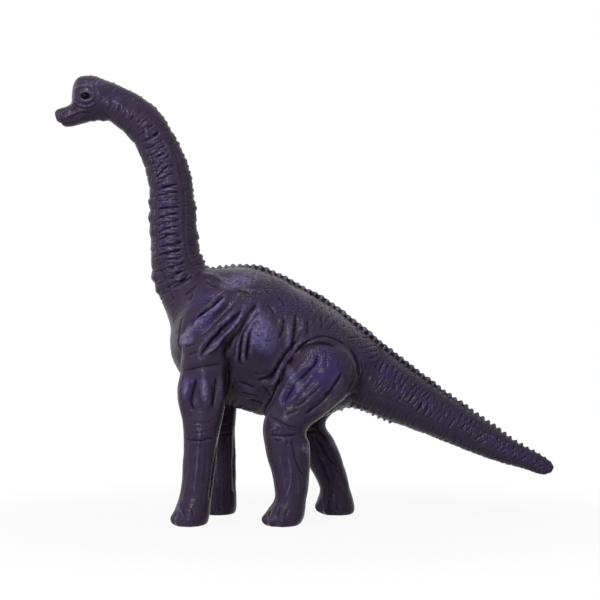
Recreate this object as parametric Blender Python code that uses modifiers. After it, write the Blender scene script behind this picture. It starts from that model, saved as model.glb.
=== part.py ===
"""Toy sauropod figure in hollow soft vinyl, posed in mid stride, with plug joints.

The figure faces -X, +Z is up and its left side is -Y. The soles lie at z = 0.
Torso, neck with head, tail and four legs are separate hollow mouldings. Each one is
carried by a rigid snap plug: the plug's base sits in the limb's socket, its shaft
passes through a hole in the torso's wall and its split head snaps behind that wall.
"""

import math

import bmesh
import bpy
from mathutils import Matrix, Vector

MM = 0.001

# Overall sizes
LENGTH = 300 * MM
HEIGHT = 265 * MM
BODY_WIDTH = 70 * MM
NECK_WIDTH = 30 * MM
TAIL_WIDTH = 39 * MM
STANCE_INSET = 8 * MM
STANCE = BODY_WIDTH - STANCE_INSET
FORELEG_WIDTH = 23 * MM
HIND_LEG_WIDTH = 24 * MM

# Stride: how far the right soles stand behind the left ones
FORE_STRIDE = 14.5 * MM
HIND_STRIDE = 33 * MM

# Mouldings
WALL = 2.5 * MM
GAP = 0.3 * MM
CUT_OVERRUN = 20 * MM
END_WALL = 3 * MM

# Row of scutes along the back
SCUTE_PITCH = 6 * MM
SCUTE_HEIGHT = 2.2 * MM
SCUTE_SIDE_SHARE = 0.5

# Leg joints: round seats let into the flanks. A seat's radius reaches from its hinge
# down to the underside of the body there, less a rim of the body that stays.
SHOULDER_SHARES = (-0.198, 0.400)
HIP_SHARES = (0.0327, 0.3185)
CHEST_SHARE = 0.279
BELLY_SHARE = 0.223
SHOULDER_RIM = 13 * MM
HIP_RIM = 0.8 * MM
SHOULDER_RADIUS = (SHOULDER_SHARES[1] - CHEST_SHARE) * HEIGHT - SHOULDER_RIM
HIP_RADIUS = (HIP_SHARES[1] - BELLY_SHARE) * HEIGHT - HIP_RIM
SHOULDER_SEAT_DEPTH = 14 * MM
HIP_SEAT_DEPTH = 11 * MM
SHOULDER_SPACING = BODY_WIDTH - 2 * SHOULDER_SEAT_DEPTH
HIP_SPACING = BODY_WIDTH - 2 * HIP_SEAT_DEPTH
FLANK_CLEARANCE = 5 * MM
INNER_SLOPE_SHARES = (0.21, 0.24)

# Snap plug
PLUG_SHAFT_RADIUS = 7 * MM
PLUG_BASE_RADIUS = 9.5 * MM
PLUG_BASE_THICKNESS = 2 * MM
PLUG_BARB = 1.2 * MM
PLUG_TIP_RADIUS = 5.6 * MM
PLUG_HEAD_LENGTH = 5 * MM
PLUG_LIP = 1 * MM
PLUG_BORE_RADIUS = 3.6 * MM
PLUG_SLOT = 1.6 * MM

# Eyes and mouth
EYE_LENGTH = 5.6 * MM
EYE_HEIGHT = 3.8 * MM
EYE_BULGE = 3.2 * MM
EYE_STEM_RADIUS = 0.9 * MM
EYE_STEM_LENGTH = 4 * MM
EYE_SHARES = (-0.4345, 0.951)
EYE_SIDE_SHARE = 0.735
MOUTH_SLIT = 0.6 * MM
MOUTH_CORNER_SHARES = (-0.446, 0.917)
MOUTH_FRONT_SHARES = (-0.485, 0.9005)

# Points closer than this are one, and edges sharper than this stay sharp
WELD = 0.01 * MM
SHARP_DEGREES = 40

# Facets around each kind of form
BODY_SIDES = 16
LIMB_SIDES = 14
CAVITY_SIDES = 10
ROUND_SIDES = 40
PLUG_SIDES = 20
EYE_SIDES = 12
EYE_BANDS = 8

# Sections along each kind of form
CURVE_STEPS = 12
MEASURE_RINGS = 60
LIMB_RINGS = 18
HEAD_RINGS = 18
FLANK_RINGS = 14
CAVITY_RINGS = 12
TAIL_CAVITY_RINGS = 8
TAIL_CAVITY_SHARE = 0.7

# Rows of a form: the two ends of a section in the side view, as shares of LENGTH
# and HEIGHT, then its half width and how much the section widens towards its back.
TORSO_SHARES = (
    (-0.197, 0.569, -0.285, 0.490, 0.43, 0.00),
    (-0.193, 0.567, -0.268, 0.436, 0.60, 0.10),
    (-0.185, 0.565, -0.264, 0.375, 0.78, 0.12),
    (-0.175, 0.566, -0.247, 0.325, 0.89, 0.18),
    (-0.157, 0.569, -0.215, 0.291, 0.95, 0.26),
    (-0.129, 0.572, -0.175, 0.264, 0.98, 0.32),
    (-0.098, 0.569, -0.129, 0.248, 1.00, 0.34),
    (-0.062, 0.556, -0.082, 0.232, 1.00, 0.36),
    (-0.022, 0.535, -0.034, 0.223, 0.98, 0.38),
    (0.018, 0.511, 0.010, 0.223, 0.96, 0.34),
    (0.058, 0.483, 0.044, 0.234, 0.92, 0.26),
    (0.094, 0.452, 0.066, 0.245, 0.83, 0.16),
    (0.129, 0.422, 0.078, 0.250, 0.70, 0.06),
    (0.161, 0.393, 0.088, 0.252, 0.557, 0.00),
)
NECK_SHARES = (
    (-0.197, 0.569, -0.285, 0.490, 1.00, 0.0),
    (-0.203, 0.585, -0.301, 0.531, 0.94, 0.0),
    (-0.211, 0.606, -0.307, 0.579, 0.89, 0.0),
    (-0.213, 0.637, -0.307, 0.628, 0.85, 0.0),
    (-0.217, 0.674, -0.310, 0.674, 0.82, 0.0),
    (-0.219, 0.710, -0.310, 0.714, 0.80, 0.0),
    (-0.223, 0.746, -0.311, 0.748, 0.79, 0.0),
    (-0.229, 0.782, -0.316, 0.773, 0.77, 0.0),
    (-0.241, 0.821, -0.321, 0.796, 0.76, 0.0),
    (-0.259, 0.862, -0.329, 0.819, 0.75, 0.0),
    (-0.285, 0.912, -0.341, 0.848, 0.74, 0.0),
    (-0.317, 0.946, -0.359, 0.871, 0.73, 0.0),
    (-0.353, 0.969, -0.378, 0.887, 0.73, 0.0),
)
HEAD_SHARES = (
    (-0.353, 0.969, -0.378, 0.887, 0.73, 0.00),
    (-0.396, 0.990, -0.390, 0.898, 0.75, 0.05),
    (-0.418, 0.999, -0.407, 0.899, 0.78, 0.10),
    (-0.436, 1.000, -0.419, 0.899, 0.78, 0.10),
    (-0.451, 0.996, -0.427, 0.898, 0.75, 0.05),
    (-0.461, 0.981, -0.436, 0.894, 0.67, 0.00),
    (-0.464, 0.962, -0.445, 0.891, 0.57, 0.00),
    (-0.466, 0.943, -0.456, 0.888, 0.51, 0.00),
    (-0.474, 0.932, -0.468, 0.885, 0.48, 0.00),
    (-0.485, 0.926, -0.480, 0.886, 0.43, 0.00),
    (-0.496, 0.915, -0.489, 0.896, 0.30, 0.00),
)
TAIL_SHARES = (
    (0.161, 0.393, 0.088, 0.252, 1.00, 0.0),
    (0.189, 0.368, 0.122, 0.242, 0.92, 0.0),
    (0.233, 0.329, 0.169, 0.220, 0.80, 0.0),
    (0.281, 0.288, 0.225, 0.198, 0.68, 0.0),
    (0.329, 0.250, 0.281, 0.173, 0.57, 0.0),
    (0.377, 0.211, 0.337, 0.148, 0.46, 0.0),
    (0.424, 0.173, 0.388, 0.128, 0.37, 0.0),
    (0.460, 0.149, 0.434, 0.114, 0.28, 0.0),
    (0.488, 0.128, 0.472, 0.100, 0.19, 0.0),
    (0.4952, 0.1145, 0.490, 0.105, 0.08, 0.0),
)
# Rows of a leg: front and rear end of a section, then the place of its middle as a
# share of half the stance and its half width as a share of half the leg's width.
FORELEG_SHARES = (
    (-0.199, 0.455, -0.171, 0.457, 0.80, 0.50),
    (-0.218, 0.442, -0.156, 0.446, 0.84, 0.86),
    (-0.234, 0.412, -0.149, 0.416, 0.87, 1.06),
    (-0.241, 0.372, -0.147, 0.376, 0.90, 1.12),
    (-0.243, 0.330, -0.148, 0.335, 0.94, 1.04),
    (-0.245, 0.294, -0.151, 0.297, 1.00, 0.92),
    (-0.244, 0.261, -0.155, 0.261, 1.05, 0.82),
    (-0.238, 0.228, -0.161, 0.228, 1.05, 0.82),
    (-0.236, 0.198, -0.167, 0.198, 1.02, 0.86),
    (-0.236, 0.167, -0.170, 0.167, 1.00, 0.82),
    (-0.238, 0.127, -0.174, 0.127, 1.00, 0.82),
    (-0.240, 0.092, -0.178, 0.092, 1.00, 0.84),
    (-0.246, 0.057, -0.182, 0.057, 1.00, 0.88),
    (-0.254, 0.033, -0.184, 0.033, 1.00, 0.95),
    (-0.260, 0.017, -0.186, 0.017, 1.00, 1.00),
    (-0.257, 0.004, -0.190, 0.004, 1.00, 0.98),
    (-0.252, 0.000, -0.196, 0.000, 1.00, 0.90),
)
HIND_LEG_SHARES = (
    (0.008, 0.405, 0.052, 0.405, 0.80, 0.52),
    (-0.012, 0.394, 0.078, 0.390, 0.85, 0.90),
    (-0.026, 0.371, 0.097, 0.362, 0.88, 1.12),
    (-0.038, 0.347, 0.104, 0.335, 0.90, 1.22),
    (-0.047, 0.321, 0.099, 0.305, 0.92, 1.20),
    (-0.057, 0.299, 0.080, 0.280, 0.97, 1.08),
    (-0.066, 0.272, 0.052, 0.255, 1.02, 0.94),
    (-0.075, 0.248, 0.028, 0.233, 1.04, 0.88),
    (-0.081, 0.226, 0.008, 0.215, 1.03, 0.90),
    (-0.082, 0.204, 0.002, 0.198, 1.00, 0.93),
    (-0.079, 0.180, 0.008, 0.178, 1.00, 0.90),
    (-0.074, 0.149, 0.010, 0.149, 1.00, 0.87),
    (-0.066, 0.118, 0.009, 0.118, 1.00, 0.85),
    (-0.060, 0.083, 0.006, 0.083, 1.00, 0.85),
    (-0.060, 0.057, 0.002, 0.057, 1.00, 0.88),
    (-0.072, 0.035, 0.000, 0.035, 1.00, 0.94),
    (-0.082, 0.017, -0.003, 0.017, 1.00, 0.98),
    (-0.079, 0.005, -0.008, 0.005, 1.00, 0.96),
    (-0.074, 0.000, -0.015, 0.000, 1.00, 0.90),
)


class Section:
    """One cross section: its two ends in the side view, its middle across and half width."""

    def __init__(self, first, last, across, half_width, widening):
        self.first = first
        self.last = last
        self.across = across
        self.half_width = half_width
        self.widening = widening

    def middle(self):
        return (self.first + self.last) / 2

    def inset(self, amount):
        """The same section, smaller by this amount all round."""
        inward = (self.last - self.first).normalized() * amount
        return Section(
            self.first + inward,
            self.last - inward,
            self.across,
            self.half_width - amount,
            self.widening,
        )

    def moved(self, offset):
        return Section(
            self.first + offset,
            self.last + offset,
            self.across,
            self.half_width,
            self.widening,
        )


def side_point(shares):
    """A point of the middle plane from its shares of LENGTH and HEIGHT."""
    return Vector((shares[0] * LENGTH, 0, shares[1] * HEIGHT))


def body_sections(rows, width):
    """Sections of a form that lies on the middle plane."""
    made = []
    for row in rows:
        made.append(Section(side_point(row[0:2]), side_point(row[2:4]), 0, row[4] * width / 2, row[5]))
    return made


def leg_sections(rows, width, side, hinge, stride):
    """Sections of a leg on one side, sheared backwards by the stride below its hinge."""
    made = []
    for row in rows:
        ends = []
        for point in (side_point(row[0:2]), side_point(row[2:4])):
            share = max(0, 1 - point.z / hinge.z)
            ends.append(point + Vector((stride * share, 0, 0)))
        made.append(Section(ends[0], ends[1], side * row[4] * STANCE / 2, row[5] * width / 2, 0))
    return made


def blend(values, t):
    """Catmull-Rom curve through four values."""
    a, b, c, d = values
    return b + (c - a) * (t / 2) + (a * 2 - b * 5 + c * 4 - d) * (t * t / 2) + (
        b * 3 - a - c * 3 + d
    ) * (t * t * t / 2)


def section_at(sections, place):
    """The section at a place counted in sections, from 0 to the last one."""
    last = len(sections) - 1
    index = min(int(place), last - 1)
    four = [sections[max(0, min(last, index + k))] for k in (-1, 0, 1, 2)]
    t = place - index
    return Section(
        blend([s.first for s in four], t),
        blend([s.last for s in four], t),
        blend([s.across for s in four], t),
        blend([s.half_width for s in four], t),
        blend([s.widening for s in four], t),
    )


def spaced(sections, count):
    """Sections at even steps along the line that their middles follow, both ends kept."""
    count_places = (len(sections) - 1) * CURVE_STEPS + 1
    places = [k / CURVE_STEPS for k in range(count_places)]
    middles = [section_at(sections, p) for p in places]
    run = [0]
    for one, other in zip(middles, middles[1:]):
        step = (other.middle() - one.middle()).length + (other.first - one.first).length
        run.append(run[-1] + step)
    made = []
    k = 0
    for n in range(count):
        target = run[-1] * n / (count - 1)
        while k < len(run) - 2 and run[k + 1] < target:
            k += 1
        share = (target - run[k]) / (run[k + 1] - run[k])
        made.append(section_at(sections, places[k] + share * (places[k + 1] - places[k])))
    return made


def ring_points(section, sides, ridge):
    """Points around a section, from its first end; ridge lifts the first end and its neighbours."""
    middle = section.middle()
    up = (section.first - section.last) / 2
    lift = up.normalized() * ridge
    points = []
    for k in range(sides):
        angle = 2 * math.pi * k / sides
        across = section.half_width * math.sin(angle) * (1 + section.widening * math.cos(angle))
        point = middle + up * math.cos(angle) + Vector((0, section.across + across, 0))
        if k == 0:
            point += lift
        elif k in (1, sides - 1):
            point += lift * SCUTE_SIDE_SHARE
        points.append(point)
    return points


def loft(name, sections, sides, ridge=0.0):
    """A closed mesh through the sections; every second one carries a scute on its first end."""
    mesh = bmesh.new()
    rings = []
    last = len(sections) - 1
    for n, section in enumerate(sections):
        scute = ridge if n % 2 == 1 and n < last else 0
        rings.append([mesh.verts.new(p) for p in ring_points(section, sides, scute)])
    for one, other in zip(rings, rings[1:]):
        for k in range(sides):
            after = (k + 1) % sides
            mesh.faces.new((one[k], one[after], other[after], other[k]))
    mesh.faces.new(rings[0])
    mesh.faces.new(reversed(rings[-1]))
    bmesh.ops.recalc_face_normals(mesh, faces=mesh.faces)
    return finish_mesh(name, mesh)


def finish_mesh(name, mesh):
    """The bmesh as an object in the parts' collection."""
    data = bpy.data.meshes.new(name)
    mesh.to_mesh(data)
    mesh.free()
    made = bpy.data.objects.new(name, data)
    PARTS.objects.link(made)
    return made


def cylinder(name, radius, start, end, sides=ROUND_SIDES):
    """A cylinder between two points."""
    mesh = bmesh.new()
    axis = end - start
    turn = axis.to_track_quat("Z", "Y").to_matrix().to_4x4()
    place = Matrix.Translation((start + end) / 2) @ turn
    bmesh.ops.create_cone(
        mesh,
        cap_ends=True,
        segments=sides,
        radius1=radius,
        radius2=radius,
        depth=axis.length,
        matrix=place,
    )
    return finish_mesh(name, mesh)


def box(name, low, high):
    """A box between two corners."""
    mesh = bmesh.new()
    size = high - low
    place = Matrix.Translation((low + high) / 2) @ Matrix.Diagonal((*size, 1))
    bmesh.ops.create_cube(mesh, size=1, matrix=place)
    return finish_mesh(name, mesh)


def ellipsoid(name, centre, size):
    mesh = bmesh.new()
    place = Matrix.Translation(centre) @ Matrix.Diagonal((*(size / 2), 1))
    bmesh.ops.create_uvsphere(mesh, u_segments=EYE_SIDES, v_segments=EYE_BANDS, radius=1, matrix=place)
    return finish_mesh(name, mesh)


def combine(target, other, operation, solver="EXACT"):
    """A Boolean modifier on target; other becomes a hidden cutter.

    The legs and sockets use MANIFOLD, because EXACT drops faces where their cuts run
    nearly flush with the flank.
    """
    modifier = target.modifiers.new(operation.lower(), "BOOLEAN")
    modifier.operation = operation
    modifier.solver = solver
    modifier.object = other
    if other.name not in CUTTERS.objects:
        PARTS.objects.unlink(other)
        CUTTERS.objects.link(other)
    other.hide_render = True
    other.display_type = "WIRE"


def settle(made):
    """Replaces an object's mesh by what its modifiers make of it."""
    bpy.context.view_layer.update()
    graph = bpy.context.evaluated_depsgraph_get()
    data = bpy.data.meshes.new_from_object(made.evaluated_get(graph))
    made.modifiers.clear()
    made.data = data
    return made


def put_origin(made, point):
    """Moves the object's origin without moving its shape."""
    made.data.transform(Matrix.Translation(-point))
    made.location = point


def surface(name, colour, roughness):
    made = bpy.data.materials.new(name)
    made.use_nodes = True
    shader = made.node_tree.nodes["Principled BSDF"]
    shader.inputs["Base Color"].default_value = (*colour, 1)
    shader.inputs["Roughness"].default_value = roughness
    made.diffuse_color = (*colour, 1)
    return made


class Joint:
    """Where a limb meets the torso: a point on the torso's seat and the way to the torso's inside."""

    def __init__(self, point, inward):
        self.point = point
        self.inward = inward.normalized()


def section_joint(section, towards):
    """The joint at a section that is cut square across, facing into the torso."""
    normal = (section.first - section.last).cross(Vector((0, 1, 0))).normalized()
    if normal.dot(towards - section.middle()) < 0:
        normal = -normal
    return Joint(section.middle(), normal)


def leg_joint(shares, side, spacing):
    point = side_point(shares)
    point.y = side * spacing / 2
    return Joint(point, Vector((0, -side, 0)))


def scuted(sections, sides, name):
    """A loft with scutes at their pitch along its back."""
    run = 0
    fine = spaced(sections, MEASURE_RINGS)
    for one, other in zip(fine, fine[1:]):
        run += (other.first - one.first).length
    count = max(3, round(run / SCUTE_PITCH)) * 2 + 1
    return loft(name, spaced(sections, count), sides, SCUTE_HEIGHT)


def hollow(name, sections, inward, first_wall, count, keep_share=1.0):
    """The inside of a moulding: its sections less the wall, from first_wall past its open end."""
    kept = spaced(sections, 2 * CAVITY_RINGS)
    kept = kept[: max(3, round(len(kept) * keep_share))]
    inner = [s.inset(WALL) for s in spaced(kept, count)]
    inner[0] = sections[0].inset(WALL).moved(inward * first_wall)
    return loft(name, inner, CAVITY_SIDES)


def torso_shell():
    """The hollow body: round seats in its flanks for the legs, flat ends for neck and tail."""
    sections = body_sections(TORSO_SHARES, BODY_WIDTH)
    shell = scuted(sections, BODY_SIDES, "torso_shell")
    inner = [s.inset(WALL) for s in spaced(sections, CAVITY_RINGS)]
    inner[0] = sections[0].inset(WALL).moved(NECK_JOINT.inward * WALL)
    inner[-1] = sections[-1].inset(WALL).moved(TAIL_JOINT.inward * WALL)
    cavity = loft("torso_cavity", inner, CAVITY_SIDES)
    for name, joint, radius, stride in LEG_SEATS:
        outward = joint.point - joint.inward * CUT_OVERRUN
        pocket = cylinder(name + "_pocket", radius + GAP, joint.point, outward)
        combine(shell, pocket, "DIFFERENCE")
        behind = joint.point + joint.inward * WALL
        combine(cavity, cylinder(name + "_backing", radius + WALL, behind, outward), "DIFFERENCE")
    combine(shell, cavity, "DIFFERENCE")
    head_room = PLUG_SHAFT_RADIUS + PLUG_BARB + GAP
    for name, joint in ALL_JOINTS:
        start = joint.point - joint.inward * GAP
        behind = joint.point + joint.inward * (WALL + GAP)
        through = behind + joint.inward * GAP
        end = through + joint.inward * (PLUG_HEAD_LENGTH + GAP)
        combine(shell, cylinder(name + "_hole", PLUG_SHAFT_RADIUS + GAP, start, through), "DIFFERENCE")
        combine(shell, cylinder(name + "_head_room", head_room, behind, end), "DIFFERENCE")
    return settle(shell)


def cut_socket(made, joint, name):
    """Cuts a limb's wall for the plug: a hole for its shaft and a seat for its base behind it."""
    start = joint.point + joint.inward * GAP
    behind = joint.point - joint.inward * END_WALL
    floor = behind - joint.inward * (PLUG_BASE_THICKNESS + 2 * GAP)
    through = behind - joint.inward * GAP
    hole = cylinder(name + "_shaft_hole", PLUG_SHAFT_RADIUS + GAP, start, through)
    combine(made, hole, "DIFFERENCE", "MANIFOLD")
    seat = cylinder(name + "_base_seat", PLUG_BASE_RADIUS + GAP, behind, floor)
    combine(made, seat, "DIFFERENCE", "MANIFOLD")


def neck_and_head():
    """The neck with the head: one moulding, open at the neck's foot."""
    outward = -NECK_JOINT.inward
    neck = body_sections(NECK_SHARES, NECK_WIDTH)
    neck[0] = neck[0].moved(outward * GAP)
    made = scuted(neck, BODY_SIDES, "neck_and_head")
    head = loft("head_form", spaced(body_sections(HEAD_SHARES, NECK_WIDTH), HEAD_RINGS), BODY_SIDES)
    lap = neck[-1].middle() - neck[-2].middle()
    head.data.transform(Matrix.Translation(-lap.normalized() * GAP))
    combine(made, head, "UNION")
    cavity = hollow("neck_cavity", neck, outward, END_WALL, CAVITY_RINGS)
    combine(made, cavity, "DIFFERENCE")
    cut_socket(made, NECK_JOINT, "neck")
    combine(made, mouth_cutter(), "DIFFERENCE")
    for side, name in SIDES:
        for cutter in eye_forms(side, name + "_eye_seat", GAP):
            combine(made, cutter, "DIFFERENCE")
    return settle(made)


def mouth_cutter():
    """A thin plate that parts the jaws."""
    corner = side_point(MOUTH_CORNER_SHARES)
    front = side_point(MOUTH_FRONT_SHARES)
    run = front - corner
    half = Vector((CUT_OVERRUN, NECK_WIDTH, MOUTH_SLIT)) / 2
    plate = box("mouth_slit", -half, half)
    middle = corner + run.normalized() * CUT_OVERRUN / 2
    turn = run.to_track_quat("X", "Z").to_matrix().to_4x4()
    plate.data.transform(Matrix.Translation(middle) @ turn)
    return plate


def eye_forms(side, name, room):
    """The bead and the stem of an eye, larger by room all round."""
    centre = side_point(EYE_SHARES)
    centre.y = side * EYE_SIDE_SHARE * NECK_WIDTH / 2
    grown = Vector((EYE_LENGTH, EYE_BULGE, EYE_HEIGHT)) + Vector((2 * room,) * 3)
    bead = ellipsoid(name, centre, grown)
    inner = centre + Vector((0, -side * (EYE_STEM_LENGTH + room), 0))
    stem = cylinder(name + "_stem", EYE_STEM_RADIUS + room, centre, inner, CAVITY_SIDES)
    return bead, stem


def eye(side, name):
    """A glossy bead eye on a stem that is pressed into the head."""
    bead, stem = eye_forms(side, name, 0)
    combine(bead, stem, "UNION")
    return settle(bead)


def tail():
    """The tail: one moulding, open at its root."""
    outward = -TAIL_JOINT.inward
    sections = body_sections(TAIL_SHARES, TAIL_WIDTH)
    sections[0] = sections[0].moved(outward * GAP)
    made = scuted(sections, BODY_SIDES, "tail")
    cavity = hollow("tail_cavity", sections, outward, END_WALL, TAIL_CAVITY_RINGS, TAIL_CAVITY_SHARE)
    combine(made, cavity, "DIFFERENCE")
    cut_socket(made, TAIL_JOINT, "tail")
    return settle(made)


def inner_cutter(name, seat_face, low_shares):
    """Everything between the two seat faces, down to a slope that ends under the belly."""
    reach = max(LENGTH, HEIGHT)
    made = box(name, Vector((-reach, -seat_face, 0)), Vector((reach, seat_face, reach)))
    for vertex in made.data.vertices:
        if vertex.co.z < reach / 2:
            vertex.co.z = low_shares[1] * HEIGHT
    middle = box(
        name + "_middle",
        Vector((-reach, -seat_face / 2, low_shares[0] * HEIGHT)),
        Vector((reach, seat_face / 2, reach)),
    )
    combine(made, middle, "UNION")
    return made


def leg(name, rows, width, joint, radius, stride, flank):
    """A leg: a round seat cut from the flank's own form, joined to the limb below it."""
    side = -joint.inward.y
    sections = leg_sections(rows, width, side, joint.point, stride)
    made = loft(name, spaced(sections, LIMB_RINGS), LIMB_SIDES)
    outward = joint.point - joint.inward * CUT_OVERRUN
    grown = [s.inset(-FLANK_CLEARANCE) for s in spaced(TORSO, FLANK_RINGS)]
    beside = loft(name + "_beside", grown, BODY_SIDES)
    middle = Vector((joint.point.x, 0, joint.point.z))
    combine(beside, cylinder(name + "_kept", radius, middle, outward), "DIFFERENCE", "MANIFOLD")
    combine(made, beside, "DIFFERENCE", "MANIFOLD")
    disc = cylinder(name + "_disc", radius, joint.point, outward)
    combine(disc, flank, "INTERSECT", "MANIFOLD")
    combine(made, disc, "UNION", "MANIFOLD")
    seat_face = abs(joint.point.y) + GAP
    combine(made, inner_cutter(name + "_inside", seat_face, INNER_SLOPE_SHARES), "DIFFERENCE", "MANIFOLD")
    inner = [s.inset(WALL) for s in spaced(sections, CAVITY_RINGS)][1:-1]
    inner[-1] = sections[-1].inset(WALL).moved(Vector((0, 0, WALL)))
    cavity = loft(name + "_cavity", inner, CAVITY_SIDES)
    backing = inner_cutter(name + "_backing", seat_face + END_WALL, INNER_SLOPE_SHARES)
    combine(cavity, backing, "DIFFERENCE", "MANIFOLD")
    combine(made, cavity, "DIFFERENCE", "MANIFOLD")
    cut_socket(made, joint, name)
    return settle(made)


def plug_mesh():
    """The snap plug, standing on its base at z = 0 with its split head up."""
    neck = PLUG_BASE_THICKNESS + GAP
    shaft_top = neck + END_WALL + WALL + 2 * GAP
    head_radius = PLUG_SHAFT_RADIUS + PLUG_BARB
    top = shaft_top + PLUG_HEAD_LENGTH
    outline = (
        (0, top),
        (PLUG_TIP_RADIUS, top),
        (head_radius, shaft_top + PLUG_LIP),
        (head_radius, shaft_top),
        (PLUG_SHAFT_RADIUS, shaft_top),
        (PLUG_SHAFT_RADIUS, PLUG_BASE_THICKNESS),
        (PLUG_BASE_RADIUS, PLUG_BASE_THICKNESS),
        (PLUG_BASE_RADIUS, 0),
        (0, 0),
    )
    data = bpy.data.meshes.new("snap_plug")
    edges = [(k, k + 1) for k in range(len(outline) - 1)]
    data.from_pydata([(x, 0, z) for x, z in outline], edges, [])
    turned = bpy.data.objects.new("snap_plug", data)
    PARTS.objects.link(turned)
    screw = turned.modifiers.new("turn", "SCREW")
    screw.steps = PLUG_SIDES
    screw.render_steps = PLUG_SIDES
    screw.use_merge_vertices = True
    screw.merge_threshold = WELD
    floor = neck + GAP
    over = top + GAP
    bore = cylinder("plug_bore", PLUG_BORE_RADIUS, Vector((0, 0, floor)), Vector((0, 0, over)), PLUG_SIDES)
    combine(turned, bore, "DIFFERENCE")
    reach = head_radius + GAP
    slot = PLUG_SLOT / 2
    slot_x = box("plug_slot_x", Vector((-reach, -slot, floor)), Vector((reach, slot, over)))
    slot_y = box("plug_slot_y", Vector((-slot, -reach, floor)), Vector((slot, reach, over)))
    combine(turned, slot_x, "DIFFERENCE")
    combine(turned, slot_y, "DIFFERENCE")
    settle(turned)
    data = turned.data
    bpy.data.objects.remove(turned)
    return data


def place_plug(name, joint, data):
    """A plug in its limb's socket: its shaft starts at the limb's seat face."""
    made = bpy.data.objects.new(name, data)
    PARTS.objects.link(made)
    made.location = joint.point - joint.inward * (END_WALL + PLUG_BASE_THICKNESS + GAP)
    made.rotation_mode = "QUATERNION"
    made.rotation_quaternion = joint.inward.to_track_quat("Z", "X")
    return made


def collection(name):
    made = bpy.data.collections.new(name)
    bpy.context.scene.collection.children.link(made)
    return made


def dress(made, material):
    """One material on the whole object, shaded smooth up to its sharp edges."""
    made.data.materials.clear()
    made.data.materials.append(material)
    made.data.shade_smooth()
    made.data.set_sharp_from_angle(angle=math.radians(SHARP_DEGREES))


for old in list(bpy.data.objects):
    bpy.data.objects.remove(old)
PARTS = collection("toy_sauropod")
CUTTERS = collection("cutters")
SIDES = ((-1, "left"), (1, "right"))

TORSO = body_sections(TORSO_SHARES, BODY_WIDTH)
NECK_JOINT = section_joint(TORSO[0], TORSO[3].middle())
TAIL_JOINT = section_joint(TORSO[-1], TORSO[-4].middle())
LEG_SEATS = []
for SIDE, WORD in SIDES:
    SHOULDER = leg_joint(SHOULDER_SHARES, SIDE, SHOULDER_SPACING)
    HIP = leg_joint(HIP_SHARES, SIDE, HIP_SPACING)
    LEG_SEATS.append((WORD + "_shoulder", SHOULDER, SHOULDER_RADIUS, FORE_STRIDE * (SIDE > 0)))
    LEG_SEATS.append((WORD + "_hip", HIP, HIP_RADIUS, HIND_STRIDE * (SIDE > 0)))
ALL_JOINTS = [("neck", NECK_JOINT), ("tail", TAIL_JOINT)]
ALL_JOINTS += [seat[:2] for seat in LEG_SEATS]

VINYL = surface("purple_vinyl", (0.055, 0.042, 0.075), 0.42)
EYE_GLOSS = surface("black_gloss", (0.004, 0.004, 0.005), 0.08)
PLUG_PLASTIC = surface("natural_plastic", (0.62, 0.60, 0.55), 0.45)

FLANK = scuted(TORSO, BODY_SIDES, "flank_form")
shell = torso_shell()
dress(shell, VINYL)

neck = neck_and_head()
dress(neck, VINYL)
put_origin(neck, NECK_JOINT.point)
for SIDE, WORD in SIDES:
    bead = eye(SIDE, WORD + "_eye")
    dress(bead, EYE_GLOSS)
    put_origin(bead, NECK_JOINT.point)

rear = tail()
dress(rear, VINYL)
put_origin(rear, TAIL_JOINT.point)

for name, joint, radius, stride in LEG_SEATS:
    word, place = name.split("_")
    if place == "shoulder":
        limb = leg(word + "_foreleg", FORELEG_SHARES, FORELEG_WIDTH, joint, radius, stride, FLANK)
    else:
        limb = leg(word + "_hind_leg", HIND_LEG_SHARES, HIND_LEG_WIDTH, joint, radius, stride, FLANK)
    dress(limb, VINYL)
    put_origin(limb, joint.point)

PLUG = plug_mesh()
for name, joint in ALL_JOINTS:
    dress(place_plug(name + "_plug", joint, PLUG), PLUG_PLASTIC)
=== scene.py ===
"""Toy sauropod in soft vinyl, in mid stride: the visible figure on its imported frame.

The figure faces -X and its left side, -Y, is the one that the photograph shows.
Each vinyl moulding is a dense form through the CAD's own rows of sections. It is
sculpted with folds and swellings that are placed by their pixels in the photograph,
mirrored on the far side, and then cut at the same seams and seats as its CAD node.
"""

import math

import bmesh
import bpy
import numpy as np
from mathutils import Matrix, Vector


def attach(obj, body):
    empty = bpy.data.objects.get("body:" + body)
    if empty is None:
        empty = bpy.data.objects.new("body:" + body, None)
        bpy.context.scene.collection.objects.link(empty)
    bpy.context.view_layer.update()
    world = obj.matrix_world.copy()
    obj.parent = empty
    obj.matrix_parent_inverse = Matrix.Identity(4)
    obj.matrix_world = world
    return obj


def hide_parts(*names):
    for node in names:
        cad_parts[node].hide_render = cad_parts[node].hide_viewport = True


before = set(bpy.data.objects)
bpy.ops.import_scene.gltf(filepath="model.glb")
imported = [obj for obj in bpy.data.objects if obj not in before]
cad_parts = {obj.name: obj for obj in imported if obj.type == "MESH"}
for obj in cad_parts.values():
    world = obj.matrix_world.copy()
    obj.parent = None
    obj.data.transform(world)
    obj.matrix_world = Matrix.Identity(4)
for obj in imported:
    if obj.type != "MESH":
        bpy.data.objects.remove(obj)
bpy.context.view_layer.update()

MM = 0.001

# Sizes of the figure, as in the CAD
LENGTH = 300 * MM
HEIGHT = 265 * MM
BODY_WIDTH = 70 * MM
NECK_WIDTH = 30 * MM
TAIL_WIDTH = 39 * MM
STANCE = BODY_WIDTH - 8 * MM
FORELEG_WIDTH = 23 * MM
HIND_LEG_WIDTH = 24 * MM
FORE_STRIDE = 14.5 * MM
HIND_STRIDE = 33 * MM
WALL = 2.5 * MM
GAP = 0.3 * MM
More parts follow.
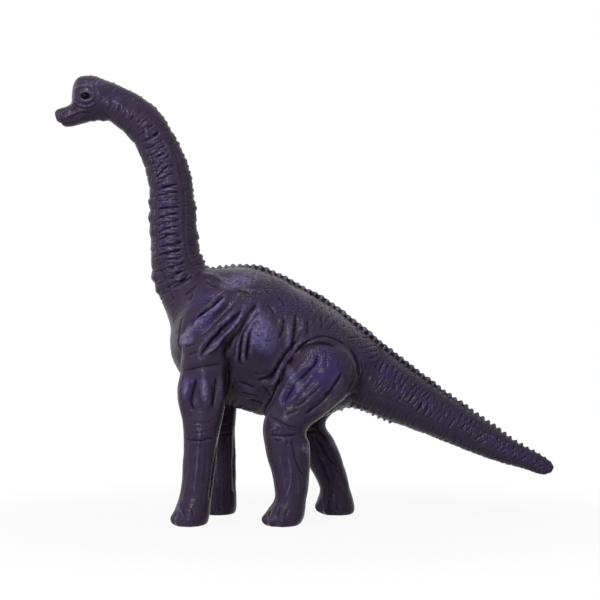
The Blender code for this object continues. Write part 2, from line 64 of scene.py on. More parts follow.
# Seen from outside, soft vinyl closes nearly tight round its seams
SEAM = 0.08 * MM
END_WALL = 3 * MM
CUT_OVERRUN = 20 * MM
SHOULDER_SPACING = 42 * MM
HIP_SPACING = 48 * MM
SHOULDER_SHARES = (-0.198, 0.400)
HIP_SHARES = (0.0327, 0.3185)
CHEST_SHARE = 0.279
BELLY_SHARE = 0.223
SHOULDER_RADIUS = (SHOULDER_SHARES[1] - CHEST_SHARE) * HEIGHT - 13 * MM
HIP_RADIUS = (HIP_SHARES[1] - BELLY_SHARE) * HEIGHT - 0.8 * MM
FLANK_CLEARANCE = 5 * MM
INNER_SLOPE_SHARES = (0.21, 0.24)
PLUG_SHAFT_RADIUS = 7 * MM
PLUG_BASE_RADIUS = 9.5 * MM
PLUG_BASE_THICKNESS = 2 * MM
PLUG_BARB = 1.2 * MM
PLUG_HEAD_LENGTH = 5 * MM
# A cutter's reach past the figure on every side
BEYOND = 2 * LENGTH
# How far the skin of the flank that a leg carries reaches past its seat
DISC_MARGIN = 6 * MM
SIDES = ((-1, "left"), (1, "right"))

# Eyes and mouth
EYE_SIZE = (5.7 * MM, 3.6 * MM, 3.9 * MM)
EYE_PX = (85.2, 95.9)
EYE_OUT = 11.0 * MM
EYE_TURN = math.radians(8)
EYE_PINCH = 0.35
EYE_ROOM = 0.12 * MM
MOUTH_SLIT = 0.6 * MM
MOUTH_CLOSING = 0.75
MOUTH_PX = ((52, 124.6), (58, 122.4), (62.3, 120.8), (67.2, 118.8), (74, 116), (80.4, 113.6))

# Toes: where the nails and the gaps between them lie round the foot, in degrees from
# its front, and their sizes
TOE_TURNS = (-62, -22, 16, 52, 88)
TOE_GAPS = (-42, -3, 34, 70)
TOE_HEIGHT = 3.2 * MM
TOE_SIZE = (2.9 * MM, 2.9 * MM, TOE_HEIGHT * 1.25)
TOE_GAP_SIZE = (1.1 * MM, 1.1 * MM, 4 * MM)
TOE_GAP_SHARE = 0.45
TOE_SHARPNESS = 1.6
FORE_NAILS = 0.7 * MM
HIND_NAILS = 1.15 * MM
SOLE_FLAT = 0.4 * MM

# The photograph: where its camera stands, and its pixels for each metre at one metre
CAMERA_PLACE = (-0.003, -1.2, 0.131)
LENS = 120.5
SENSOR = 36
FRAME_PIXELS = 600
PIXELS = LENS / SENSOR * FRAME_PIXELS

# How fine the sculpted skins are
TORSO_GRAIN = 0.62 * MM
NECK_GRAIN = 0.45 * MM
TAIL_GRAIN = 0.45 * MM
LEG_GRAIN = 0.48 * MM
# Rings along a form and sides round it, before it is sculpted
TORSO_LOFT = (130, 96)
NECK_LOFT = (190, 72)
TAIL_LOFT = (160, 72)
LEG_LOFT = (110, 64)
FLANK_LOFT = (110, 96)
BESIDE_LOFT = (70, 64)
# Sides of round cutters
SEAT_SIDES = 96
PLUG_SIDES = 48
# Sides of a bead eye and of the cutter for its socket
EYE_SIDES = 64
SOCKET_SIDES = 48
# Steps of a curve between two of its points, and steps along a whole form
ROW_STEPS = 24
LINE_STEPS = 6
MOUTH_STEPS = 4
RUN_STEPS = 160
BACK_STEPS = 120

# A full-sized scute: its crest and the rib under it, how deep their middles lie, and
# how much one scute differs from the next
CREST_SIZE = (3.9 * MM, 5.6 * MM, 6.6 * MM)
CREST_SINK = 0.9 * MM
RIB_SIZE = (2.9 * MM, 18 * MM, 18 * MM)
TAIL_RIB_SIZE = (2.9 * MM, 13.5 * MM, 18 * MM)
RIB_SINK = 6.6 * MM
SCUTE_VARIATION = 0.13
# Rows of scutes: pitch, seed, then shares of the row and the scutes' sizes there
BACK_SCUTES = (3.9 * MM, 4, (0, 0.15, 0.4, 0.7, 1), (0.50, 0.85, 1.26, 1.40, 1.36))
NAPE_SCUTES = (3.6 * MM, 7, (0, 0.3, 0.85, 1), (0.42, 0.45, 0.45, 0.60))
TAIL_SCUTES = (4.0 * MM, 5, (0, 0.25, 0.5, 0.7, 0.85, 1), (1.30, 1.20, 1.02, 0.82, 0.58, 0.28))
ROOT_KEEL = (3.0 * MM, 8, (0, 1), (0.62, 0.62))
TAIL_KEEL = (3.4 * MM, 9, (0, 1), (0.60, 0.30))
# From which share of its form's run to which each row reaches, and how deep the nape's lies
BACK_RUN = (0.0, 1.0)
NAPE_RUN = (0.0, 0.98)
TAIL_RUN = (0.0, 0.97)
ROOT_KEEL_RUN = (0.88, 1.0)
TAIL_KEEL_RUN = (0.0, 0.22)
NAPE_SINK = 0.5 * MM
# How much lower the back lies between scutes, in millimetres at shares of a form's run
TORSO_CREST_DROP_MM = ((0, 0.3, 0.5, 0.62, 0.75, 1), (-0.6, 0.5, 1.2, 2.0, 2.6, 2.7))
TAIL_CREST_DROP_MM = ((0, 0.2, 0.4, 0.6, 0.7, 0.8, 1), (2.7, 2.2, 1.5, 0.6, -0.05, -0.6, -0.6))

# Profile across a sculpted line, in half widths of it: where each bump's middle lies,
# its spread and its height. A lap's raised bump is only on the left of the way it runs.
PROFILES = {
    "ridge": ((0, 1, 1),),
    "crease": ((2.4, 1.0, 0.20), (0, 0.65, -0.85), (0, 1.9, -0.24)),
    "lap": ((2.0, 1.4, 0.70), (0, 0.75, -1)),
}
# A line's reach and its tapered ends in half widths, and the longest share of it that tapers
LINE_REACH = 4
LINE_TAPER = 5
LINE_TAPER_SHARE = 0.35
# How far chance moves the sculpted lines, in pixels, and over what distance
STRAY_PX = 0.5
STRAY_SIZE = 4 * MM
STRAY_SEEDS = (71, 72)
# The lines show in full where the skin faces sideways, and fade between these shares
FACING = (-0.05, 0.35)
PEBBLES_FACING = 0.7
# Repeated folds: how far apart they waver and break, how wide they are and how softly
# a band of them ends, in radians
FOLD_WAVER = 9 * MM
FOLD_BREAK = 4.5 * MM
FOLD_WIDTH = 0.45 * MM
FOLD_SPREAD = 0.24
FOLD_EDGE = math.radians(10)
# Skin: wrinkles across a form, the wandering of their lines, lumps, smooth and wrinkled
# patches, and pebbles, then the heights in millimetres
WRINKLE_PITCH = 2.6 * MM
WRINKLE_LENGTH = 9 * MM
WANDER_SIZE = 5 * MM
LUMP_SIZE = 6 * MM
PATCH_SIZE = 14 * MM
PEBBLE_SIZE = 1.7 * MM
WRINKLE_MM = 0.20
LUMP_MM = 0.16
PEBBLE_MM = 0.05
ROUGH_PEBBLE_MM = 0.42
LEG_WRINKLES = 0.3
# Smoothing: where small forms grow out of a big one, after the sculpting, and round a
# leg's seat, between two shares of HEIGHT
BLEND_ROUNDS = 2
LAST_SOFTENING = 0.25
SEAT_ROUNDS = 70
SEAT_SHARES = (0.22, 0.27)
# Painted shade in hollows and painted highlights on raised spots: how far a place lies below
# or above the skin near it and further off, in millimetres, from where to where that shows,
# and how much
NEAR_ROUNDS = 5
BROAD_ROUNDS = 45
NEAR_HOLLOW = (0.02, 0.13, 0.75)
BROAD_HOLLOW = (0.06, 0.60, 0.6)
NEAR_RAISED = (0.02, 0.18, 0.45)
BROAD_RAISED = (0.12, 0.75, 0.5)
# Seeds of each form's skin
TORSO_SEED = 11
NECK_SEED = 23
TAIL_SEED = 31
# The legs count on from the first one's seed
LEG_SEED = 41
# Edges of the finished pieces that are sharper than this stay sharp
SHARP_ANGLE = math.radians(62)

# Rows of a form: the two ends of a section in the side view, as shares of LENGTH
# and HEIGHT, then its half width and how much the section widens towards its back.
TORSO_SHARES = (
    (-0.197, 0.569, -0.285, 0.490, 0.43, 0.00),
    (-0.193, 0.567, -0.268, 0.436, 0.60, 0.10),
    (-0.185, 0.565, -0.264, 0.375, 0.78, 0.12),
    (-0.175, 0.566, -0.247, 0.325, 0.89, 0.18),
    (-0.157, 0.569, -0.215, 0.291, 0.95, 0.26),
    (-0.129, 0.572, -0.175, 0.264, 0.98, 0.32),
    (-0.098, 0.569, -0.129, 0.248, 1.00, 0.34),
    (-0.062, 0.556, -0.082, 0.232, 1.00, 0.36),
    (-0.022, 0.535, -0.034, 0.223, 0.98, 0.38),
    (0.018, 0.511, 0.010, 0.223, 0.96, 0.34),
    (0.058, 0.483, 0.044, 0.234, 0.92, 0.26),
    (0.094, 0.452, 0.066, 0.245, 0.83, 0.16),
    (0.129, 0.422, 0.078, 0.250, 0.70, 0.06),
    (0.161, 0.393, 0.088, 0.252, 0.557, 0.00),
)
NECK_SHARES = (
    (-0.197, 0.569, -0.285, 0.490, 1.00, 0.0),
    (-0.203, 0.585, -0.301, 0.531, 0.94, 0.0),
    (-0.211, 0.606, -0.307, 0.579, 0.89, 0.0),
    (-0.213, 0.637, -0.307, 0.628, 0.85, 0.0),
    (-0.217, 0.674, -0.310, 0.674, 0.82, 0.0),
    (-0.219, 0.710, -0.310, 0.714, 0.80, 0.0),
    (-0.223, 0.746, -0.311, 0.748, 0.79, 0.0),
    (-0.229, 0.782, -0.316, 0.773, 0.77, 0.0),
    (-0.241, 0.821, -0.321, 0.796, 0.76, 0.0),
    (-0.259, 0.862, -0.329, 0.819, 0.75, 0.0),
    (-0.285, 0.912, -0.341, 0.848, 0.74, 0.0),
    (-0.317, 0.946, -0.359, 0.871, 0.73, 0.0),
)
HEAD_SHARES = (
    (-0.353, 0.969, -0.378, 0.887, 0.73, 0.00),
    (-0.396, 0.990, -0.390, 0.898, 0.75, 0.05),
    (-0.418, 0.999, -0.407, 0.899, 0.78, 0.10),
    (-0.436, 1.000, -0.419, 0.899, 0.78, 0.10),
    (-0.451, 0.996, -0.427, 0.898, 0.75, 0.05),
    (-0.461, 0.981, -0.436, 0.894, 0.67, 0.00),
    (-0.464, 0.962, -0.445, 0.891, 0.57, 0.00),
    (-0.466, 0.943, -0.456, 0.888, 0.51, 0.00),
    (-0.474, 0.932, -0.468, 0.885, 0.48, 0.00),
    (-0.486, 0.927, -0.479, 0.885, 0.44, 0.00),
    (-0.494, 0.924, -0.487, 0.889, 0.41, 0.00),
    (-0.4985, 0.918, -0.4935, 0.897, 0.32, 0.00),
)
TAIL_SHARES = (
    (0.161, 0.393, 0.088, 0.252, 1.00, 0.0),
    (0.189, 0.368, 0.122, 0.242, 0.92, 0.0),
    (0.233, 0.329, 0.169, 0.220, 0.80, 0.0),
    (0.281, 0.288, 0.225, 0.198, 0.68, 0.0),
    (0.329, 0.250, 0.281, 0.173, 0.57, 0.0),
    (0.377, 0.211, 0.337, 0.148, 0.46, 0.0),
    (0.424, 0.173, 0.388, 0.128, 0.37, 0.0),
    (0.460, 0.149, 0.434, 0.114, 0.28, 0.0),
    (0.488, 0.128, 0.472, 0.100, 0.19, 0.0),
    (0.4952, 0.1145, 0.490, 0.105, 0.08, 0.0),
)
# Rows of a leg: front and rear end of a section, then the place of its middle as a
# share of half the stance and its half width as a share of half the leg's width.
FORELEG_SHARES = (
    (-0.199, 0.455, -0.171, 0.457, 0.80, 0.50),
    (-0.218, 0.442, -0.156, 0.446, 0.84, 0.86),
    (-0.234, 0.412, -0.149, 0.416, 0.87, 1.06),
    (-0.241, 0.372, -0.147, 0.376, 0.90, 1.12),
    (-0.243, 0.330, -0.148, 0.335, 0.94, 1.04),
    (-0.245, 0.294, -0.151, 0.297, 1.00, 0.92),
    (-0.244, 0.261, -0.155, 0.261, 1.05, 0.82),
    (-0.238, 0.228, -0.161, 0.228, 1.05, 0.82),
    (-0.236, 0.198, -0.167, 0.198, 1.02, 0.86),
    (-0.236, 0.167, -0.170, 0.167, 1.00, 0.82),
    (-0.238, 0.127, -0.174, 0.127, 1.00, 0.82),
    (-0.240, 0.092, -0.178, 0.092, 1.00, 0.84),
    (-0.246, 0.057, -0.182, 0.057, 1.00, 0.88),
    (-0.254, 0.033, -0.184, 0.033, 1.00, 0.95),
    (-0.260, 0.017, -0.186, 0.017, 1.00, 1.00),
    (-0.257, 0.004, -0.190, 0.004, 1.00, 0.98),
    (-0.252, 0.000, -0.196, 0.000, 1.00, 0.90),
)
HIND_LEG_SHARES = (
    (0.008, 0.405, 0.052, 0.405, 0.80, 0.52),
    (-0.012, 0.394, 0.078, 0.390, 0.85, 0.90),
    (-0.026, 0.371, 0.097, 0.362, 0.88, 1.12),
    (-0.038, 0.347, 0.104, 0.335, 0.90, 1.22),
    (-0.047, 0.321, 0.099, 0.305, 0.92, 1.20),
    (-0.057, 0.299, 0.080, 0.280, 0.97, 1.08),
    (-0.066, 0.272, 0.052, 0.255, 1.02, 0.94),
    (-0.075, 0.248, 0.028, 0.233, 1.04, 0.88),
    (-0.081, 0.226, 0.008, 0.215, 1.03, 0.90),
    (-0.082, 0.204, 0.002, 0.198, 1.00, 0.93),
    (-0.079, 0.180, 0.008, 0.178, 1.00, 0.90),
    (-0.074, 0.149, 0.010, 0.149, 1.00, 0.87),
    (-0.066, 0.118, 0.009, 0.118, 1.00, 0.85),
    (-0.060, 0.083, 0.006, 0.083, 1.00, 0.85),
    (-0.060, 0.057, 0.002, 0.057, 1.00, 0.88),
    (-0.072, 0.035, 0.000, 0.035, 1.00, 0.94),
    (-0.082, 0.017, -0.003, 0.017, 1.00, 0.98),
    (-0.079, 0.005, -0.008, 0.005, 1.00, 0.96),
    (-0.074, 0.000, -0.015, 0.000, 1.00, 0.90),
)

# Sculpted lines, in pixels of the photograph: what kind of line, its half width in
# pixels, its depth or height in millimetres and the points it runs through.
HEAD_LINES_PX = (
    ("ridge", 1.3, 0.42, ((74.4, 91), (77.5, 87.4), (84.5, 84.6), (90.6, 86), (95.8, 90.4))),
    ("crease", 0.9, 0.30, ((75.8, 92.6), (79.4, 88.6), (85.4, 87), (91, 88.8), (94.8, 92.8))),
    ("ridge", 0.9, 0.45, ((79, 95.4), (82, 92.4), (86, 91.6), (89.6, 93), (91.4, 95.6))),
    ("ridge", 0.9, 0.40, ((79.4, 97), (82.4, 99.8), (86, 100.4), (89.4, 99), (91.4, 96.4))),
    ("crease", 0.8, 0.28, ((75.4, 97.4), (78, 101.6), (83, 104.2), (88.6, 103.6), (93, 100.6), (95.4, 96.6))),
    ("ridge", 0.9, 0.35, ((73.8, 99.6), (77, 104), (83, 106.4), (90, 105.6), (95.6, 102))),
    ("crease", 0.8, 0.24, ((73.4, 102.6), (77.6, 106.6), (84, 108.6), (91.6, 107.4), (97.6, 103))),
    ("ridge", 0.7, 0.30, ((97, 90.6), (98.8, 94), (98.6, 98), (96.8, 101))),
    ("crease", 0.8, 0.22, ((99.6, 90), (101.6, 94.6), (101, 99), (98.8, 102.6))),
    ("ridge", 1.6, 0.45, ((60.5, 118.6), (66, 116.2), (73, 113.4), (80, 110.6), (86, 109.8))),
    ("ridge", 1.7, 0.40, ((64, 123.4), (70, 121.4), (77, 118.6), (83, 116), (89, 115))),
    ("crease", 1.0, 0.55, ((80, 113.4), (85, 112.6), (90, 113.2), (92.6, 115.4))),
    ("crease", 1.4, 0.45, ((68, 113.5), (73.6, 109.4), (76.8, 104), (76.6, 98.6))),
    ("crease", 1.3, 0.60, ((133.7, 114.4), (131.4, 118.6), (128.3, 122))),
    ("crease", 1.3, 0.60, ((139.8, 119), (138.4, 121.6), (136, 123.6))),
    ("ridge", 1.0, 0.35, ((113.5, 105), (111.5, 108.5), (110, 112))),
    ("ridge", 1.0, 0.35, ((117.5, 105.4), (115.5, 109), (114, 113))),
    ("ridge", 1.0, 0.35, ((125, 108.6), (123.5, 112), (121.6, 116))),
    ("ridge", 1.0, 0.35, ((129, 113), (127.2, 116.7), (125, 120))),
    ("crease", 0.9, 0.35, ((120.6, 104), (119, 109), (117.4, 115))),
    ("crease", 1.1, 0.35, ((101, 112.4), (107.6, 115), (114, 119.4), (120, 124))),
    ("ridge", 0.9, 0.35, ((84, 82.6), (88.6, 81))),
    ("ridge", 0.9, 0.35, ((86, 85.2), (92.4, 82.6))),
    ("ridge", 0.8, 0.32, ((95, 82.4), (99.6, 80.8))),
    ("ridge", 0.8, 0.32, ((94, 85.4), (98, 83.8))),
    ("ridge", 0.8, 0.32, ((100.4, 85.4), (104.6, 84))),
    ("ridge", 0.8, 0.32, ((106, 88.4), (110.8, 86.6))),
    ("ridge", 0.8, 0.32, ((112.2, 91.6), (117, 89.4))),
    ("ridge", 0.8, 0.32, ((117.6, 94.6), (122.2, 92.4))),
    ("ridge", 0.8, 0.32, ((123.4, 97.8), (128.2, 95.6))),
    ("ridge", 0.8, 0.32, ((131, 100.6), (134.6, 98.6))),
    ("ridge", 0.9, 0.35, ((137, 99.8), (142.2, 97.4))),
    ("ridge", 0.9, 0.35, ((135, 104.6), (140, 102.2))),
)
NECK_LINES_PX = (
    ("ridge", 2.0, 0.50, ((143, 125.6), (146, 130), (147, 136.6), (149, 142), (151, 145.4))),
    ("crease", 1.2, 0.45, ((142.8, 144.3), (148.6, 152), (153.6, 164), (156.4, 176), (158, 187))),
    ("crease", 1.1, 0.40, ((158, 187), (158.3, 206), (158.5, 230), (158.6, 252), (159.6, 268))),
    ("crease", 1.3, 0.45, ((159.6, 268), (163, 275), (167.4, 284), (170.4, 293), (176, 303))),
    ("crease", 1.3, 0.38, ((169, 143.5), (176.5, 156.5), (179.6, 170.3), (183.4, 187))),
    ("crease", 1.3, 0.38, ((183.4, 187), (184.8, 205), (184.6, 225), (184.8, 240), (188.2, 258), (198, 272))),
    ("crease", 1.4, 0.60, ((160.6, 130.4), (156, 134.4), (151.4, 137.2))),
    ("crease", 1.2, 0.50, ((168.6, 151.6), (161.6, 154.6), (152.4, 157.6))),
    ("crease", 1.2, 0.50, ((176.2, 164.4), (171.5, 166.6), (166.8, 167.4))),
    ("crease", 1.1, 0.45, ((169.2, 171.8), (164, 172.6), (158.6, 171.6))),
    ("crease", 1.4, 0.60, ((177, 184.4), (168, 186.4), (159.4, 186.6))),
    ("crease", 1.4, 0.60, ((159.4, 197), (167, 198), (176, 196.6))),
    ("crease", 1.1, 0.40, ((169.2, 204.4), (176, 204.2), (183.2, 202.2))),
    ("crease", 1.4, 0.60, ((159.4, 208.2), (170, 208), (183.2, 206.8))),
    ("crease", 1.3, 0.55, ((160, 224.2), (166, 224), (170.6, 222.8))),
    ("crease", 1.2, 0.50, ((160.6, 226.8), (168, 228.4), (175.4, 229.2))),
    ("crease", 1.1, 0.45, ((159.4, 233.8), (164, 234.4), (169, 233.2))),
    ("crease", 1.1, 0.45, ((173.6, 235), (179, 235.2), (184.2, 233.8))),
    ("crease", 1.1, 0.45, ((160.2, 237.6), (164, 237.4), (168, 235.2))),
    ("crease", 1.5, 0.65, ((167.2, 246), (175, 244.6), (184, 241))),
    ("crease", 1.4, 0.60, ((160.2, 253.2), (171, 253), (182.4, 249.4))),
    ("crease", 1.1, 0.45, ((173.6, 260), (179, 258.8), (183.4, 255.6))),
    ("crease", 1.4, 0.60, ((163.6, 271.8), (170, 269), (176, 263.6))),
    ("crease", 1.5, 0.70, ((165.6, 280), (174, 276), (183.4, 268))),
    ("lap", 1.6, 0.85, ((195.8, 274.4), (183, 281), (170.6, 289.6))),
    ("crease", 1.5, 0.75, ((181.6, 296.8), (189, 291), (197.4, 282.4))),
    ("crease", 1.3, 0.60, ((187, 301), (190.6, 297.4), (194, 292))),
    ("ridge", 1.6, 0.35, ((176, 133.6), (180.6, 141.6), (187, 157), (191, 172), (193.6, 190))),
    ("ridge", 1.3, 0.35, ((162.6, 139), (167.6, 147), (172.6, 158))),
    ("crease", 1.0, 0.35, ((163.8, 160.4), (158, 163), (153.4, 163.8))),
    ("crease", 1.0, 0.40, ((163.6, 176.4), (160, 178.2), (155, 178.6))),
    ("crease", 1.0, 0.35, ((186, 196), (191, 198.6), (194.4, 197.6))),
    ("crease", 1.0, 0.35, ((186.4, 212), (191.6, 214), (195.6, 212.4))),
    ("crease", 1.0, 0.35, ((186.4, 228), (192, 230.4), (197, 229))),
    ("crease", 1.0, 0.35, ((188, 244), (193, 245.6), (198.6, 242.4))),
    ("crease", 1.0, 0.40, ((190, 258), (195, 257.6), (200, 253))),
    ("crease", 1.0, 0.40, ((151.4, 196.8), (155, 196), (158.2, 197))),
    ("crease", 1.0, 0.40, ((151, 209.4), (155, 208.4), (158.2, 208.4))),
    ("crease", 1.0, 0.40, ((151, 225.4), (155, 224.8), (158.4, 224.4))),
    ("crease", 1.0, 0.40, ((152.4, 241.6), (156, 241), (158.8, 240.4))),
    ("crease", 1.0, 0.40, ((152.4, 257.4), (156, 256.6), (159.4, 255.4))),
    ("crease", 1.0, 0.40, ((153.2, 272), (157.4, 271), (161, 269))),
    ("crease", 1.0, 0.45, ((155, 284.6), (161, 283), (166, 279.6))),
    ("crease", 1.0, 0.45, ((158.4, 295.6), (165, 293), (171, 289))),
)
SHOULDER_LINES_PX = (
    ("ridge", 1.8, 0.60, ((196.6, 268.6), (204, 273.6), (216, 278.6), (231, 283.5))),
    ("crease", 1.6, 0.50, ((203, 279.6), (211, 284.6), (219, 288.6))),
    ("lap", 2.0, 1.70, ((225.8, 294.8), (218, 301.6), (211, 308), (198.8, 317), (190.6, 328.4))),
    ("ridge", 2.0, 1.00, ((235.5, 301), (226.3, 311), (217, 320), (206, 331.4), (195.7, 337.6))),
    ("crease", 2.1, 1.80, ((242.6, 308.6), (231.4, 320), (217, 334.5), (204, 350.8), (199.6, 360))),
    ("ridge", 1.9, 1.00, ((243.6, 313), (231.4, 329.4), (221, 337.6), (215, 348), (203, 354.6))),
    (
        "crease",
        2.8,
        1.90,
        ((259.4, 300), (248.8, 314), (241.6, 327), (231.4, 340.6), (227.3, 351), (226.3, 362)),
    ),
    ("crease", 2.6, 1.70, ((226.3, 362), (227.4, 372), (228.4, 382), (227.6, 391), (226.3, 398))),
    ("crease", 1.7, 1.30, ((261, 310.4), (248.8, 325), (241.6, 337.6), (239.6, 357), (241, 368))),
    ("crease", 1.4, 0.70, ((244, 327), (237.4, 338), (234.6, 350), (235, 360))),
    ("ridge", 1.7, 0.60, ((254, 308), (245.6, 319), (236.6, 332), (231, 344))),
    ("crease", 1.3, 0.60, ((183.6, 341), (189, 337.6), (195.4, 335.4))),
    ("crease", 1.3, 0.60, ((184.6, 348.6), (191, 345), (198, 341.4))),
    ("crease", 1.3, 0.60, ((186, 357), (193, 353), (200.4, 350))),
    ("crease", 2.4, 0.75, ((180.8, 372.6), (192, 368.8), (208, 366), (225.6, 364.4))),
    ("ridge", 3.2, 0.70, ((233, 291), (224, 299), (213, 309.6), (200, 320.6), (193.6, 329))),
    ("crease", 1.0, 0.25, ((196, 325), (203, 320.6), (210, 314.6))),
    ("ridge", 1.0, 0.35, ((228, 288.6), (221, 293.6), (211.6, 301.6), (200, 312), (193.4, 322))),
    ("ridge", 1.1, 0.35, ((203, 279.4), (207.4, 280.6), (211, 283.6))),
    ("ridge", 1.0, 0.30, ((206, 284.4), (210, 286.6), (215, 290))),
)
FLANK_LINES_PX = (
    ("crease", 1.8, 1.50, ((245.6, 364), (247, 352), (248.8, 339), (252.6, 328), (259.6, 317))),
    ("crease", 1.5, 1.00, ((282.4, 314), (283.4, 322), (282, 331), (277.6, 342))),
    ("crease", 1.5, 0.95, ((295.6, 313), (295.4, 324), (293.4, 338), (290, 352))),
    ("crease", 2.0, 1.60, ((298.6, 338), (291.6, 347), (285.5, 355), (277.3, 368), (270, 378.4), (255, 381))),
    ("crease", 1.5, 0.60, ((306, 318), (307.6, 327), (306, 337))),
    ("crease", 1.4, 0.55, ((318.6, 314), (321.4, 322), (321, 331))),
    ("ridge", 2.3, 0.60, ((289, 314), (290, 324), (287.4, 338), (282, 350))),
    ("ridge", 2.0, 0.45, ((301.6, 316), (302, 326), (299.4, 334))),
    ("crease", 1.4, 0.60, ((233.5, 375), (234.4, 382), (233, 390))),
    ("crease", 1.9, 1.10, ((236.6, 379.6), (246, 384.4), (257, 387.8))),
    ("crease", 1.7, 0.90, ((238, 389.6), (248, 393.6), (260, 396))),
    ("crease", 1.7, 0.90, ((246, 398.6), (256, 402.4), (266, 403.6))),
    ("crease", 1.4, 0.55, ((262, 385.6), (268, 391), (271, 397.6))),
    ("crease", 1.3, 0.50, ((252, 371.6), (259.6, 374), (267, 373))),
    ("crease", 1.4, 0.55, ((266, 303), (272, 309.6), (275, 317))),
    ("crease", 1.4, 0.50, ((276, 296), (282, 301.6), (285, 308))),
    ("crease", 1.2, 0.40, ((292, 292.6), (297, 299.6), (298.6, 307))),
    ("crease", 1.2, 0.40, ((309, 298), (313, 304.6), (313.6, 311))),
    ("crease", 1.2, 0.40, ((327, 307), (330.6, 313), (331.6, 320))),
    ("crease", 1.2, 0.40, ((262, 287), (268, 292.4), (273, 294.6))),
    ("ridge", 1.8, 0.55, ((204, 272.6), (214, 275.6), (226, 281), (240, 287.6), (252, 290.4), (268, 292.4))),
    ("crease", 1.3, 0.55, ((206, 275.6), (216, 279), (227, 285), (240, 290.6), (252, 293.2))),
    ("crease", 1.3, 0.60, ((257, 268), (254, 276), (252.6, 286))),
    ("crease", 1.2, 0.50, ((270, 272), (272, 279), (276, 286))),
    ("crease", 1.2, 0.50, ((286, 279), (292, 285), (303, 291))),
    ("crease", 1.2, 0.50, ((306, 290), (313, 295), (322, 298))),
)
THIGH_LINES_PX = (
    ("crease", 2.3, 1.50, ((262.6, 419), (266, 408), (273.5, 397), (279, 384), (286.5, 366), (295.7, 355))),
    ("crease", 2.2, 1.30, ((295.7, 355), (306.8, 346), (318.8, 343), (330, 343.6), (340, 348.6))),
    (
        "crease",
        1.9,
        0.90,
        ((292, 356.6), (303, 345), (316, 337.6), (327, 336.6), (338.3, 340), (347.5, 346.4)),
    ),
    (
        "crease",
        2.0,
        1.10,
        ((347.5, 346.4), (355.8, 355.6), (358.8, 364.4), (356.8, 375.5), (352.4, 385), (345, 394)),
    ),
    ("crease", 1.4, 0.70, ((351.4, 362), (353.6, 369), (353, 375.5), (350, 382))),
    ("crease", 1.3, 0.60, ((361, 358.6), (362.6, 371.8), (358.6, 384), (353, 391.6))),
    (
        "ridge",
        2.6,
        0.95,
        ((307, 358.8), (298.5, 370), (292, 379), (285.5, 388.5), (280, 401.4), (278.6, 412)),
    ),
    ("crease", 2.0, 1.60, ((319, 351), (315, 363.5), (306.8, 372), (296.6, 383), (289, 394), (282.4, 405))),
    ("ridge", 2.3, 0.85, ((314, 373.6), (306.8, 383), (301.3, 388.5), (295.7, 397), (285.6, 404))),
    ("crease", 1.8, 1.50, ((343, 370.6), (334.6, 385), (325.3, 398.6), (310.5, 410.7), (303.6, 416.4))),
    ("crease", 1.4, 0.60, ((322.4, 383), (313.6, 392.6), (303.6, 401), (292, 408.6))),
    ("crease", 1.3, 0.55, ((330, 389.6), (320, 400), (308, 406.4))),
    ("ridge", 2.0, 0.65, ((347, 377.6), (339.4, 389.6), (329, 402), (316.6, 413.4))),
    ("crease", 1.6, 0.80, ((343.8, 398.6), (351, 396.4), (358.4, 392.6))),
    ("crease", 1.3, 0.50, ((300.4, 407.4), (292.4, 412.4), (284.4, 414.6))),
    ("crease", 1.3, 0.45, ((325, 352), (326.6, 361), (323.6, 371))),
    ("crease", 1.2, 0.40, ((335.6, 352.6), (338.6, 361), (336.6, 369.6))),
)
HIND_LEG_LINES_PX = (
    ("crease", 1.4, 0.70, ((268, 415), (276.6, 419.8), (284, 424), (291, 427), (299, 428))),
    ("crease", 1.2, 0.55, ((286, 427.8), (291.6, 430), (298, 430.6))),
    ("crease", 1.5, 0.70, ((267, 434.4), (275, 436), (286, 436.2), (298, 434.8))),
    ("crease", 1.2, 0.60, ((271, 439.4), (277.6, 440.4), (284, 438.8))),
    (
        "ridge",
        1.6,
        0.50,
        ((268.6, 428.6), (271.6, 424.4), (276.6, 424), (281, 428), (279, 432.4), (272.6, 432.8)),
    ),
    ("crease", 1.1, 0.45, ((286.2, 438), (287.2, 442), (286.4, 446))),
    ("crease", 1.6, 0.70, ((290.4, 437), (292.6, 446), (296.3, 463), (302.4, 474), (305.6, 480))),
    ("ridge", 1.8, 0.45, ((279.6, 452), (282, 466), (284.6, 481), (285.4, 495))),
    ("crease", 1.2, 0.18, ((274.6, 463), (276.6, 472), (278, 482))),
    ("ridge", 1.2, 0.45, ((288, 455), (290.6, 470), (290, 485), (285, 499))),
    ("crease", 1.4, 0.20, ((286, 458), (286.6, 470), (284.6, 484))),
    ("ridge", 1.2, 0.35, ((296, 470), (298.6, 485), (297.6, 500))),
    ("crease", 1.3, 0.60, ((281.4, 505), (278, 511), (277.6, 520))),
    ("crease", 1.3, 0.60, ((271, 508.6), (269.4, 514), (270, 520))),
    ("crease", 1.3, 0.50, ((288.6, 508), (286, 513.4), (286.4, 520))),
    ("ridge", 1.6, 0.45, ((283, 503.6), (279.6, 507), (275.4, 511.4))),
)
